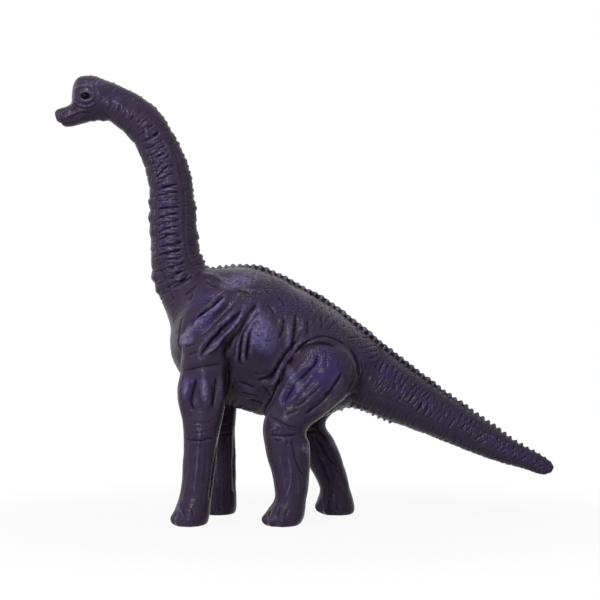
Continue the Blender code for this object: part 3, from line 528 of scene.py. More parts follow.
FORELEG_LINES_PX = (
    ("crease", 2.0, 1.50, ((195.6, 375), (194.6, 384), (192.4, 394), (191, 403), (195.6, 413.6))),
    ("crease", 1.8, 1.15, ((215.6, 374), (216, 386), (214.6, 398), (211.6, 410))),
    ("ridge", 1.8, 0.50, ((222, 392), (220, 402), (216, 414))),
    ("ridge", 1.6, 0.35, ((184, 384), (183, 396), (184.6, 408))),
    ("crease", 1.2, 0.20, ((186.4, 420.6), (196, 423), (208, 422), (217, 417.4))),
    ("crease", 1.0, 0.32, ((190, 431.6), (197, 432.4), (205, 431.4), (214, 429.4))),
    ("crease", 1.1, 0.55, ((183, 437), (190, 440), (201, 440.6), (209, 439), (217, 438.6))),
    ("ridge", 1.4, 0.40, ((193, 425.8), (199, 424.6), (205, 426.8))),
    ("crease", 1.8, 0.90, ((221.4, 430), (220.5, 436), (216.3, 454.7), (212, 481), (210, 503))),
    ("crease", 1.1, 0.16, ((189, 452), (190.4, 462), (190, 473))),
    ("crease", 1.1, 0.16, ((199.4, 455), (200.6, 467), (199, 480))),
    ("crease", 1.1, 0.16, ((192.6, 484), (193.4, 494), (192, 504))),
    ("ridge", 1.3, 0.45, ((200, 428), (198.6, 445), (196.6, 470), (193, 497))),
    ("ridge", 1.1, 0.35, ((190, 440), (188.6, 460), (186.6, 484), (182, 505))),
    ("crease", 1.6, 0.20, ((207, 445), (206, 465), (203.6, 490), (201, 506))),
    ("ridge", 1.6, 0.60, ((177, 508), (181.6, 512.4), (183.6, 518.6))),
    ("crease", 1.3, 0.60, ((182.4, 508), (183.6, 513), (184, 520))),
    ("crease", 1.3, 0.60, ((175.6, 509.6), (175.6, 514.6), (176.6, 520))),
    ("crease", 1.3, 0.55, ((191.4, 508.6), (192.6, 513.6), (192.6, 520))),
)
TAIL_LINES_PX = (
    ("ridge", 1.5, 0.45, ((374.4, 367.6), (372.4, 374), (368.6, 384))),
    ("ridge", 1.5, 0.45, ((391.4, 377.6), (387.6, 384.6), (381.2, 393.6))),
    ("crease", 1.2, 0.50, ((389.6, 385.6), (387.6, 389), (386.4, 391.6))),
    ("crease", 1.2, 0.55, ((396.2, 382), (395.4, 387), (394.6, 391.4))),
    ("ridge", 1.6, 0.35, ((400, 389.6), (403.6, 390), (405, 394.4), (401.4, 396.4), (399.4, 393))),
    ("crease", 1.2, 0.50, ((422, 402), (420.6, 406), (419.6, 410))),
    ("ridge", 1.3, 0.40, ((426.8, 401.6), (424.8, 406), (422.4, 411))),
    ("ridge", 1.2, 0.35, ((433.4, 403.6), (432.8, 407), (432, 410.8))),
    ("ridge", 1.2, 0.35, ((439.6, 406.6), (437.4, 412), (435, 418))),
    ("ridge", 1.1, 0.32, ((447.9, 410.6), (446.8, 414.4), (445.8, 418))),
    ("ridge", 1.1, 0.30, ((454.4, 415.6), (453, 418.6), (451.6, 422.4))),
    ("ridge", 1.1, 0.30, ((520, 449.6), (518.4, 454), (517, 459))),
    ("crease", 1.3, 0.28, ((355.6, 394.4), (368, 394.6), (380, 396), (396.4, 402.4), (411, 410.6))),
    ("crease", 1.1, 0.22, ((411, 410.6), (426, 418), (441, 425.4), (456, 432.6))),
    ("ridge", 1.3, 0.30, ((485, 434.3), (499, 440), (513, 447))),
    ("crease", 1.1, 0.30, ((470, 424.6), (484, 431), (500, 437.6))),
    ("crease", 1.1, 0.45, ((403, 414.6), (402, 418), (401.4, 421))),
    ("crease", 1.1, 0.45, ((408, 415), (407, 418.6), (406, 422.6))),
    ("crease", 1.1, 0.45, ((414, 418.6), (413, 422), (411.6, 425))),
    ("crease", 1.0, 0.40, ((434, 425.6), (433, 428.8), (431.6, 432))),
    ("crease", 1.0, 0.40, ((440, 427.6), (439, 431), (437.6, 434))),
    ("crease", 1.0, 0.40, ((448.6, 429.6), (447.7, 433), (446.2, 436))),
    ("crease", 1.0, 0.40, ((454.4, 434), (453.6, 437), (452.4, 439.6))),
    ("crease", 1.0, 0.40, ((462.4, 439), (461.6, 442), (460.4, 444.6))),
    ("crease", 1.2, 0.50, ((366.6, 360), (364.6, 369), (360.4, 379))),
    ("crease", 1.2, 0.45, ((382.6, 371), (379.6, 379.6), (375, 388))),
    ("crease", 1.1, 0.40, ((404.6, 382.6), (402.6, 386), (399.6, 389))),
    ("crease", 1.1, 0.40, ((413, 391), (411.6, 398), (408.6, 404.6))),
    ("crease", 1.0, 0.35, ((444, 400), (442.6, 404.6), (440.6, 408))),
    ("crease", 1.0, 0.35, ((462, 411.6), (460.6, 417), (458.4, 422))),
    ("crease", 1.0, 0.35, ((473, 419), (471.6, 424.6), (469.6, 430))),
    ("crease", 1.0, 0.30, ((492, 431.6), (490.6, 437), (488.6, 443))),
    ("crease", 1.0, 0.30, ((506, 439.6), (504.6, 445), (502.6, 450.6))),
)
# Rounded swellings and hollows: centre, radii and turn in degrees, then the height
TORSO_SWELLINGS_PX = (
    ((257, 341), (17, 26), 20, 2.4),
    ((266, 328), (9, 15), 25, 0.9),
    ((205, 320), (36, 8.5), 44, 1.5),
    ((222, 325), (29, 6.5), 44, 1.1),
    ((217, 343), (27, 6), 38, 1.0),
    ((183, 343), (10, 12), 30, 1.4),
    ((215, 294), (24, 10), 20, 1.0),
    ((204, 356), (20, 9), 20, 0.9),
    ((288, 334), (9, 20), 8, 0.7),
    ((302, 328), (8, 16), 6, 0.6),
    ((268, 377), (14, 9), 30, -0.9),
    ((246, 391), (20, 12), 15, 0.8),
    ((329, 372), (20, 27), 28, 1.8),
    ((293, 381), (10, 26), 32, 0.9),
    ((312, 394), (26, 9), 48, 0.7),
    ((330, 318), (30, 12), 25, 0.5),
    ((176, 268), (14, 20), 20, 0.6),
)
HEAD_SWELLINGS_PX = (
    ((86, 95.6), (13, 12), 0, 0.9),
    ((85.4, 95.8), (9, 7), 0, -1.5),
    ((107.2, 103.6), (4.6, 6.4), 10, 0.9),
    ((101, 91), (10, 8), 20, 0.5),
    ((69, 113), (9, 5.5), 20, 0.45),
    ((63.4, 112.6), (2.3, 1.7), 30, -0.7),
    ((88, 120), (14, 5), 5, 0.5),
    ((121, 100), (10, 7), 35, 0.4),
    ((93.6, 120.5), (2.6, 2), 0, 0.3),
    ((103.4, 121.4), (2.8, 2), 0, 0.35),
    ((146, 130), (3, 4), 0, 0.5),
    ((133, 137), (5, 3.4), -25, 0.5),
)
NECK_SWELLINGS_PX = (
    ((172, 200), (9, 20), 0, 0.5),
    ((171, 240), (9, 22), 0, 0.5),
    ((164, 201.6), (4, 3), 0, 0.45),
    ((164, 214), (5, 4), 0, 0.45),
    ((166.8, 241), (5, 2.4), -8, 0.45),
    ((168.6, 249), (6, 2.4), -8, 0.4),
    ((174.8, 266.8), (5, 2.6), -30, 0.45),
    ((178.4, 279.3), (6, 2.8), -32, 0.5),
    ((147, 136.6), (2.4, 2.4), 0, 0.45),
    ((149, 142), (2.4, 2), 0, 0.45),
    ((153.6, 152), (2.8, 2.6), 0, 0.5),
    ((158, 161), (2.6, 2.6), 0, 0.5),
    ((162.7, 160.3), (2.2, 2), 0, 0.4),
    ((159.7, 169.5), (2.4, 2.2), 0, 0.45),
    ((162, 176.4), (2.4, 2), 0, 0.45),
    ((163.5, 183.3), (2.6, 2.2), 0, 0.45),
    ((165.8, 190.6), (3, 2.4), 0, 0.45),
    ((149.8, 201.6), (2.6, 3.4), 0, 0.4),
    ((149.8, 217.7), (2.6, 4), 0, 0.4),
    ((151.6, 233), (2.6, 3.6), 0, 0.4),
    ((153.4, 277.5), (2.6, 3.2), 0, 0.4),
    ((157, 291), (3, 3.4), 0, 0.4),
    ((195.6, 212), (2.4, 3), 0, 0.35),
    ((198, 236.4), (2.4, 3), 0, 0.35),
    ((200, 251), (2.4, 3.4), 0, 0.35),
)
LEG_SWELLINGS_PX = (
    ((184, 392), (9, 26), 0, 2.6),
    ((205, 390), (9, 27), 4, 2.6),
    ((222, 392), (6, 24), 8, 0.9),
    ((199, 432), (11, 9), 0, 0.7),
    ((197, 465), (8, 24), 3, 0.5),
    ((275, 428), (6.5, 5.4), 0, 0.9),
    ((280, 455), (8, 22), -8, 0.6),
    ((302, 452), (7, 14), 5, 0.7),
    ((304.5, 485), (4, 14), 5, 0.5),
)
TAIL_SWELLINGS_PX = (
    ((363.3, 349), (2.4, 2.2), 0, 0.35),
    ((377.3, 362.7), (2.4, 2.2), 0, 0.35),
    ((384.6, 365.3), (2.2, 2), 0, 0.35),
    ((395.3, 370), (2.4, 2.2), 0, 0.35),
    ((380, 376), (2.4, 2.2), 0, 0.35),
    ((402.5, 393), (2.6, 3.6), 10, 0.35),
    ((351.6, 406), (4, 2.6), 10, 0.45),
    ((360.4, 408), (4, 2.6), 10, 0.45),
    ((366.3, 409.7), (3, 2.4), 10, 0.4),
    ((373.6, 413), (3.4, 2.4), 15, 0.4),
)
# Bumps that stand out in the outline: place, radius and height in millimetres
OUTLINE_BUMPS_PX = (
    ((176, 134.6), 2.0, 0.7),
    ((179.6, 142), 1.8, 0.7),
    ((185.6, 160), 2.2, 0.5),
    ((191, 178), 2.2, 0.4),
    ((195.4, 208), 1.9, 0.6),
    ((195.8, 217), 1.9, 0.6),
    ((198, 236.4), 2.0, 0.7),
    ((199, 247), 1.8, 0.6),
    ((201, 256.5), 1.8, 0.7),
    ((206, 262), 1.8, 0.6),
    ((131.6, 136.6), 3.2, 0.7),
    ((70.5, 102.6), 2.4, -0.7),
    ((149.6, 201.6), 2.4, 0.8),
    ((149.6, 217.7), 2.6, 0.7),
    ((151.4, 233), 2.4, 0.7),
    ((152, 250), 2.2, 0.5),
    ((153.2, 277.5), 2.2, 0.8),
    ((157, 291), 2.2, 0.8),
    ((160, 300), 2.0, 0.5),
    ((93.6, 121), 1.4, 0.5),
    ((103.4, 121.6), 1.6, 0.6),
    ((60.4, 124.4), 1.5, -1.0),
    ((171.5, 340), 6.0, 0.8),
    ((175, 356), 5.0, 0.9),
)
# Folds that repeat across a form: from and to which angle round it from the back in
# degrees, spacing and depth in millimetres, slant, how broken the lines are, and from
# which to which pixel across the photograph they rise to their full depth
NECK_BANDS = (
    (62, 136, 4.4, 0.80, 0.10, 0.50, (118, 158)),
    (66, 130, 2.7, 0.38, -0.12, 0.95, (124, 160)),
    (-20, 58, 8.4, 0.34, 0.0, 0.45, (110, 150)),
    (138, 200, 7.8, 0.55, 0.0, 0.15, (100, 140)),
)
TAIL_BANDS = (
    (38, 72, 3.1, 0.58, 0.20, 0.80, (335, 365)),
    (66, 108, 3.5, 0.64, 0.30, 0.80, (335, 365)),
    (44, 100, 1.9, 0.22, -0.25, 1.0, (335, 365)),
    (118, 200, 3.2, 0.36, 0.0, 0.7, (320, 350)),
)
TORSO_BANDS = (
    (14, 66, 3.6, 0.50, 0.3, 0.80, (290, 345)),
    (20, 60, 2.2, 0.22, -0.2, 1.0, (285, 345)),
    (150, 200, 6.5, 0.55, 0.0, 0.6, (150, 200)),
)
# Where the skin is pebbled, and how strongly
ROUGH_PATCHES_PX = (
    ((240, 281), (26, 13), 15, 1.0),
    ((270, 288), (48, 13), 18, 0.9),
    ((218, 272), (20, 8), 10, 0.7),
    ((186, 341), (10, 9), 30, 1.0),
    ((205, 320), (36, 9), 44, 0.9),
    ((262, 336), (12, 22), 20, 0.9),
    ((292, 386), (12, 28), 34, 0.8),
    ((322, 358), (22, 18), 28, 1.0),
    ((202, 434), (16, 14), 0, 0.5),
    ((84, 109), (10, 4), 12, 1.0),
    ((300, 310), (60, 16), 14, 0.6),
    ((275, 430), (12, 9), 0, 0.6),
    ((305, 448), (7, 8), 0, 0.6),
    ((120, 92), (30, 10), 15, 0.4),
    ((400, 372), (50, 12), -38, 0.6),
    ((345, 333), (44, 13), -35, 0.8),
)
# Where violet was sprayed over the grey-purple, and how strongly
VIOLET_PATCHES_PX = (
    ((164, 215), (8, 60), 0, 0.5),
    ((160, 150), (10, 30), 32, 0.4),
    ((205, 320), (40, 11), 44, 0.9),
    ((224, 326), (32, 9), 44, 0.75),
    ((203, 300), (22, 16), 20, 0.45),
    ((260, 336), (17, 28), 20, 0.95),
    ((322, 372), (34, 24), 52, 0.85),
    ((293, 390), (30, 10), 58, 0.8),
    ((197, 390), (20, 26), 0, 0.5),
    ((196, 450), (12, 40), 0, 0.2),
    ((285, 460), (12, 40), 0, 0.2),
    ((385, 372), (44, 12), -38, 0.6),
    ((440, 411), (45, 9), -30, 0.5),
    ((515, 452), (40, 9), -27, 0.4),
    ((290, 300), (70, 16), 12, 0.45),
    ((108, 100), (26, 15), 10, 0.25),
)
# Where highlights are painted on pale, and how strongly
PAINTED_HIGHLIGHT_PATCHES_PX = (
    ((240, 281), (24, 9), 12, 0.9),
    ((262, 332), (15, 26), 20, 0.75),
    ((186, 339), (9, 7), 30, 0.8),
    ((206, 318), (30, 4), 44, 0.5),
    ((204, 391), (3.6, 15), 2, 0.7),
    ((187, 386), (3, 13), 0, 0.5),
    ((293, 376), (5, 18), 34, 0.5),
    ((306, 448), (6, 6), 0, 0.9),
    ((300, 388), (4, 18), 38, 0.4),
    ((98, 82.6), (16, 4), 8, 0.4),
)


def rows_in_metres(shares, width):
    """Rows of a form on the middle plane: x and z of both ends, across, half width, widening."""
    table = np.array(shares)
    rows = np.zeros((len(table), 7))
    rows[:, 0:4] = table[:, 0:4] * (LENGTH, HEIGHT, LENGTH, HEIGHT)
    rows[:, 5] = table[:, 4] * width / 2
    rows[:, 6] = table[:, 5]
    return rows


def under_crest(rows, drop):
    """Rows whose back lies lower, by a drop in millimetres that runs along them."""
    inward = rows[:, 2:4] - rows[:, 0:2]
    inward /= np.linalg.norm(inward, axis=1)[:, None]
    lowered = rows.copy()
    share = np.linspace(0, 1, len(rows))
    lowered[:, 0:2] += inward * np.interp(share, *drop)[:, None] * MM
    return lowered


def leg_rows(shares, width, side, hinge, stride):
    """Rows of a leg on one side, sheared backwards by its stride below the hinge."""
    rows = rows_in_metres(shares, width)
    rows[:, 4] = side * rows[:, 5] / width * STANCE
    rows[:, 5] = rows[:, 6] * width / 2
    rows[:, 6] = 0
    for x, z in ((0, 1), (2, 3)):
        rows[:, x] += stride * np.maximum(0, 1 - rows[:, z] / hinge[2])
    return rows


def smooth_curve(points, steps):
    """A Catmull-Rom curve through points, with this many steps between two of them."""
    padded = np.vstack([points[:1], points, points[-1:]])
    t = (np.arange(steps) / steps)[:, None]
    made = []
    for n in range(len(points) - 1):
        a, b, c, d = padded[n : n + 4]
        made.append(
            b + (c - a) * t / 2 + (2 * a - 5 * b + 4 * c - d) * t**2 / 2 + (3 * b - a - 3 * c + d) * t**3 / 2
        )
    made.append(points[-1:])
    return np.vstack(made)


def even_rows(rows, count):
    """Rows at even steps along the form."""
    curve = smooth_curve(rows, ROW_STEPS)
    middle = (curve[:, 0:2] + curve[:, 2:4]) / 2
    steps = np.linalg.norm(np.diff(middle, axis=0), axis=1)
    steps += np.linalg.norm(np.diff(curve[:, 0:2], axis=0), axis=1)
    run = np.concatenate([[0], np.cumsum(steps)])
    target = np.linspace(0, run[-1], count)
    return np.column_stack([np.interp(target, run, curve[:, k]) for k in range(rows.shape[1])])


def new_object(name, data):
    """An object for this data, in the scene."""
    made = bpy.data.objects.new(name, data)
    bpy.context.scene.collection.objects.link(made)
    return made


def object_from(name, mesh):
    """An object for a mesh that was built up here."""
    data = bpy.data.meshes.new(name)
    mesh.to_mesh(data)
    mesh.free()
    return new_object(name, data)


def solid(name, points, faces):
    """A closed mesh whose faces point outwards."""
    data = bpy.data.meshes.new(name)
    data.from_pydata([tuple(p) for p in points], [], faces)
    mesh = bmesh.new()
    mesh.from_mesh(data)
    bmesh.ops.recalc_face_normals(mesh, faces=mesh.faces)
    mesh.to_mesh(data)
    mesh.free()
    return new_object(name, data)


def loft(name, rows, rings, sides, grow=0.0):
    """A closed form through rows of sections, larger by grow all round."""
    even = even_rows(rows, rings)
    middle = (even[:, 0:2] + even[:, 2:4]) / 2
    up = (even[:, 0:2] - even[:, 2:4]) / 2
    tall = np.linalg.norm(up, axis=1)[:, None]
    up = up * (tall + grow) / tall
    angle = np.arange(sides) * 2 * math.pi / sides
    cos, sin = np.cos(angle)[None], np.sin(angle)[None]
    x = middle[:, 0:1] + up[:, 0:1] * cos
    z = middle[:, 1:2] + up[:, 1:2] * cos
    y = even[:, 4:5] + (even[:, 5:6] + grow) * sin * (1 + even[:, 6:7] * cos)
    points = np.stack([x, y, z], axis=-1).reshape(-1, 3)
    faces = []
    for ring in range(rings - 1):
        for k in range(sides):
            after = (k + 1) % sides
            start = ring * sides
            faces.append((start + k, start + after, start + sides + after, start + sides + k))
    faces.append(tuple(range(sides)))
    faces.append(tuple(range((rings - 1) * sides, rings * sides)))
    return solid(name, points, faces)


def rod(name, radius, start, end, sides=SEAT_SIDES):
    """A straight round cutter between two points."""
    mesh = bmesh.new()
    axis = end - start
    place = Matrix.Translation((start + end) / 2) @ axis.to_track_quat("Z", "Y").to_matrix().to_4x4()
    bmesh.ops.create_cone(
        mesh, cap_ends=True, segments=sides, radius1=radius, radius2=radius, depth=axis.length, matrix=place
    )
    return object_from(name, mesh)


def block(name, low, high):
    """A straight-sided cutter between two corners."""
    mesh = bmesh.new()
    size = Vector(high) - Vector(low)
    place = Matrix.Translation((Vector(low) + Vector(high)) / 2) @ Matrix.Diagonal((*size, 1))
    bmesh.ops.create_cube(mesh, size=1, matrix=place)
    return object_from(name, mesh)


def far_half(name, point, way):
    """A cutter for everything on one side of a plane, the side that the way points to."""
    made = block(name, (-BEYOND, -BEYOND, 0), (BEYOND, BEYOND, BEYOND))
    turn = way.to_track_quat("Z", "Y").to_matrix().to_4x4()
    made.data.transform(Matrix.Translation(point) @ turn)
    return made


def settle(made):
    """Turns an object's modifiers into its plain mesh."""
    bpy.context.view_layer.update()
    graph = bpy.context.evaluated_depsgraph_get()
    data = bpy.data.meshes.new_from_object(made.evaluated_get(graph))
    made.modifiers.clear()
    made.data = data
    return made


def combine(target, others, operation="DIFFERENCE"):
    """Cuts, joins or intersects closed forms; the others are used up."""
    for other in others:
        modifier = target.modifiers.new(operation.lower(), "BOOLEAN")
        modifier.operation = operation
        modifier.solver = "MANIFOLD"
        modifier.object = other
    settle(target)
    for other in others:
        bpy.data.objects.remove(other)
    return target


def reskin(made, extras, grain):
    """One even skin over a form and the small forms that grow out of it."""
    if extras:
        mesh = bmesh.new()
        mesh.from_mesh(made.data)
        for extra in extras:
            mesh.from_mesh(extra.data)
            bpy.data.objects.remove(extra)
        mesh.to_mesh(made.data)
        mesh.free()
    skin = made.modifiers.new("skin", "REMESH")
    skin.mode = "VOXEL"
    skin.voxel_size = grain
    return settle(made)


def points_of(data):
    """A mesh's points as rows of x, y and z."""
    points = np.empty(len(data.vertices) * 3)
    data.vertices.foreach_get("co", points)
    return points.reshape(-1, 3)


def normals_of(data):
    """The outward way at each point of a mesh."""
    data.update()
    normals = np.empty(len(data.vertices) * 3)
    data.vertices.foreach_get("normal", normals)
    return normals.reshape(-1, 3)


def edges_of(data):
    """The two point numbers of each edge of a mesh."""
    edges = np.empty(len(data.edges) * 2, dtype=np.int32)
    data.edges.foreach_get("vertices", edges)
    return edges.reshape(-1, 2)


def set_points(data, points):
    """Moves a mesh's points."""
    data.vertices.foreach_set("co", points.ravel())
    data.update()


def relaxed(points, edges, rounds, share=0.5):
    """Points drawn towards their neighbours' mean; share may differ from point to point."""
    a, b = edges[:, 0], edges[:, 1]
    count = np.bincount(edges.ravel(), minlength=len(points))[:, None]
    count = np.maximum(count, 1)
    for _ in range(rounds):
        total = np.empty_like(points)
        for k in range(3):
            total[:, k] = np.bincount(a, points[b, k], len(points))
            total[:, k] += np.bincount(b, points[a, k], len(points))
        points = points + share * (total / count - points)
    return points


def ramp(values, low, high):
    """0 below low, 1 above high and a smooth rise between."""
    t = np.clip((values - low) / (high - low), 0, 1)
    return t * t * (3 - 2 * t)


def lattice(cells, seed):
    """A fixed irregular value from 0 to 1 for each whole-numbered place, by mixing its bits."""
    mixed = cells[..., 0] * 374761393 + cells[..., 1] * 668265263 + cells[..., 2] * 1442695041 + seed * 974711
    mixed = (mixed ^ (mixed >> 13)) * 1274126177 & 0x7FFFFFFF
    return ((mixed ^ (mixed >> 16)) & 0xFFFF) / 65535


def cloud(points, seed):
    """Soft irregular values from -1 to 1, about one unit apart."""
    base = np.floor(points).astype(np.int64)
    t = points - base
    t = t * t * (3 - 2 * t)
    total = 0
    for i in (0, 1):
        for j in (0, 1):
            for k in (0, 1):
                weight = np.abs(1 - i - t[:, 0]) * np.abs(1 - j - t[:, 1]) * np.abs(1 - k - t[:, 2])
                total = total + weight * lattice(base + (i, j, k), seed)
    return total * 2 - 1


def pebbles(points, seed):
    """Rounded bumps about one unit apart with valleys between: 1 on top, 0 in a valley."""
    base = np.floor(points).astype(np.int64)
    far = 9.0
    nearest = np.full(len(points), far)
    second = np.full(len(points), far)
    for i in (-1, 0, 1):
        for j in (-1, 0, 1):
            for k in (-1, 0, 1):
                cell = base + (i, j, k)
                spot = cell + 0.5
                for axis in range(3):
                    spot[:, axis] += 0.7 * (lattice(cell, seed + axis + 1) - 0.5)
                away = np.linalg.norm(points - spot, axis=1)
                second = np.minimum(second, np.maximum(nearest, away))
                nearest = np.minimum(nearest, away)
    return ramp(second - nearest, 0.0, 0.45)


def photo_places(points, stride=0.0, hinge_z=1.0):
    """Where points lie in the photograph, in pixels; the far side is mirrored to the near one."""
    x = points[:, 0] - stride * np.maximum(0, 1 - points[:, 2] / hinge_z)
    depth = -CAMERA_PLACE[1] - np.abs(points[:, 1])
    half = FRAME_PIXELS / 2
    across = half + PIXELS * (x - CAMERA_PLACE[0]) / depth
    down = half - PIXELS * (points[:, 2] - CAMERA_PLACE[2]) / depth
    return np.stack([across, down], axis=-1)


def in_metres(pixel, y):
    """The point at this y that the photograph shows at a pixel."""
    depth = -CAMERA_PLACE[1] - abs(y)
    half = FRAME_PIXELS / 2
    x = CAMERA_PLACE[0] + (pixel[0] - half) * depth / PIXELS
    z = CAMERA_PLACE[2] - (pixel[1] - half) * depth / PIXELS
    return Vector((x, y, z))


def line_height(places, kind, width, depth, path):
    """Height that one sculpted line gives to each place, in metres."""
    height = np.zeros(len(places))
    curve = smooth_curve(np.array(path, dtype=float), LINE_STEPS)
    low, high = curve.min(0) - LINE_REACH * width, curve.max(0) + LINE_REACH * width
    near = np.nonzero(np.all((places > low) & (places < high), axis=1))[0]
    if len(near) == 0:
        return height
    here = places[near]
    start = curve[:-1]
    step = curve[1:] - start
    square = np.maximum((step**2).sum(1), 1e-9)
    run = np.concatenate([[0], np.cumsum(np.sqrt(square))])
    rel = here[:, None, :] - start[None]
    t = np.clip((rel * step).sum(-1) / square, 0, 1)
    off = rel - t[..., None] * step
    distance = (off**2).sum(-1)
    best = distance.argmin(1)
    row = np.arange(len(here))
    away = np.sqrt(distance[row, best])
    along = run[best] + t[row, best] * np.sqrt(square[best])
    turn = step[best, 0] * off[row, best, 1] - step[best, 1] * off[row, best, 0]
    u = away / width
    ends = ramp(np.minimum(along, run[-1] - along), 0, min(LINE_TAPER * width, run[-1] * LINE_TAPER_SHARE))
    shape = np.zeros(len(here))
    for middle, spread, tall in PROFILES[kind]:
        bump = tall * np.exp(-(((u - middle) / spread) ** 2))
        if kind == "lap" and middle > 0:
            bump = bump * (turn < 0)
        shape += bump
    height[near] = shape * ends * depth * MM
    return height


def patch_share(places, centre, radii, turn):
    """1 at the middle of an oval patch and 0 outside it."""
    angle = math.radians(turn)
    rel = places - centre
    along = (rel[:, 0] * math.cos(angle) - rel[:, 1] * math.sin(angle)) / radii[0]
    across = (rel[:, 0] * math.sin(angle) + rel[:, 1] * math.cos(angle)) / radii[1]
    return np.maximum(0, 1 - along**2 - across**2) ** 2


def form_places(points, rows):
    """For each point its run along a form in metres, and its angle round it from the back."""
    even = even_rows(rows, RUN_STEPS)
    middle = (even[:, 0:2] + even[:, 2:4]) / 2
    run = np.concatenate([[0], np.cumsum(np.linalg.norm(np.diff(middle, axis=0), axis=1))])
    side = points[:, [0, 2]]
    best = np.empty(len(points), dtype=np.int64)
    batch = 20000
    for start in range(0, len(points), batch):
        part = side[start : start + batch]
        best[start : start + batch] = ((part[:, None] - middle[None]) ** 2).sum(-1).argmin(1)
    way = np.gradient(middle, axis=0)
    way /= np.linalg.norm(way, axis=1)[:, None]
    rel = side - middle[best]
    along = run[best] + (rel * way[best]).sum(1)
    up = (even[:, 0:2] - even[:, 2:4]) / 2
    up /= np.linalg.norm(up, axis=1)[:, None]
    high = (rel * up[best]).sum(1)
    return along, np.arctan2(points[:, 1] - even[best, 4], high)


def band_height(points, places, along, angle, girth, bands, seed):
    """Folds at even steps along a form, broken up by chance, in metres."""
    height = np.zeros(len(points))
    turned = np.abs(angle)
    waver = 0.5 * cloud(points / FOLD_WAVER, seed)
    for n, (start, end, pitch, depth, slant, broken, rise) in enumerate(bands):
        low, high = math.radians(start), math.radians(end)
        inside = ramp(turned, low, low + FOLD_EDGE) * (1 - ramp(turned, high - FOLD_EDGE, high))
        phase = along / (pitch * MM) + slant * turned * girth / (pitch * MM) + waver
        line = np.round(phase)
        away = np.abs(phase - line) * pitch * MM
        # Each line, and each side of the form, breaks up in its own way
        spot = np.stack([line * 5.17, turned * girth / FOLD_BREAK, np.sign(angle) * 3.3], axis=-1)
        kept = 1 - broken * (1 - ramp(cloud(spot, seed + n), -0.40, 0.35))
        kept = kept * ramp(places[:, 0], *rise)
        groove = np.exp(-((away / FOLD_WIDTH) ** 2))
        groove += 0.3 * np.exp(-((away / (FOLD_SPREAD * pitch * MM)) ** 2))
        height -= depth * MM * inside * kept * groove
    return height


def outline_height(points):
    """Rounded bumps that show in the outline, on the middle plane, in metres."""
    height = np.zeros(len(points))
    for pixel, radius, tall in OUTLINE_BUMPS_PX:
        spot = in_metres(pixel, 0)
        away = np.linalg.norm((points - np.array(spot)) / (radius * MM, 3 * radius * MM, radius * MM), axis=1)
        height += tall * MM * np.exp(-(away**2))
    return height


def skin_height(points, along, angle, girth, rough, wrinkled, seed):
    """Fine wrinkles across a form, soft lumps and pebbled skin, in metres."""
    across = np.cos(angle) * girth / WRINKLE_LENGTH
    around = np.sin(angle) * girth / WRINKLE_LENGTH
    wavy = np.stack([along / WRINKLE_PITCH, across, around], axis=-1)
    wavy = wavy + 0.45 * np.stack([cloud(points / WANDER_SIZE, seed + 3)] * 3, axis=-1)
    wrinkles = 1 - np.abs(cloud(wavy, seed)) * 2.2
    lumps = cloud(points / LUMP_SIZE, seed + 1)
    patchy = ramp(cloud(points / PATCH_SIZE, seed + 2), -0.35, 0.55)
    grains = pebbles(points / PEBBLE_SIZE, seed + 5)
    height = LUMP_MM * lumps
    height -= WRINKLE_MM * wrinkled * np.maximum(0, wrinkles) ** 2 * (0.35 + 0.65 * patchy)
    return (height + (PEBBLE_MM + ROUGH_PEBBLE_MM * rough) * grains) * MM


def sculpt(made, rows, lines, swellings, bands, girth, seed, wrinkled=1.0, stride=0.0, hinge_z=1.0):
    """Presses the folds, swellings and skin into a form and keeps where its paint, painted shade and painted
    highlights go.
    """
    data = made.data
    edges = edges_of(data)
    points = relaxed(points_of(data), edges, BLEND_ROUNDS)
    set_points(data, points)
    normals = normals_of(data)
    places = photo_places(points, stride, hinge_z)
    places = places + STRAY_PX * np.stack([cloud(points / STRAY_SIZE, k) for k in STRAY_SEEDS], axis=-1)
    facing = ramp(np.abs(normals[:, 1]), *FACING)
    height = np.zeros(len(points))
    for kind, width, depth, path in lines:
        height += line_height(places, kind, width, depth, path)
    for centre, radii, turn, tall in swellings:
        height += patch_share(places, centre, radii, turn) * tall * MM
    rough = np.zeros(len(points))
    for centre, radii, turn, strength in ROUGH_PATCHES_PX:
        rough = np.maximum(rough, patch_share(places, centre, radii, turn) * strength)
    rough = rough * np.maximum(facing, PEBBLES_FACING)
    along, angle = form_places(points, rows)
    height = height * facing + skin_height(points, along, angle, girth, rough, wrinkled, seed)
    height += band_height(points, places, along, angle, girth, bands, seed + 7) + outline_height(points)
    moved = points + normals * height[:, None]
    moved = relaxed(moved, edges, 1, LAST_SOFTENING)
    set_points(data, moved)
    keep_paint(data, edges, moved, places, facing)


def paint_share(values, low, high, most):
    """Nothing up to low, then rising to most at high."""
    return ramp(values, low, high) * most


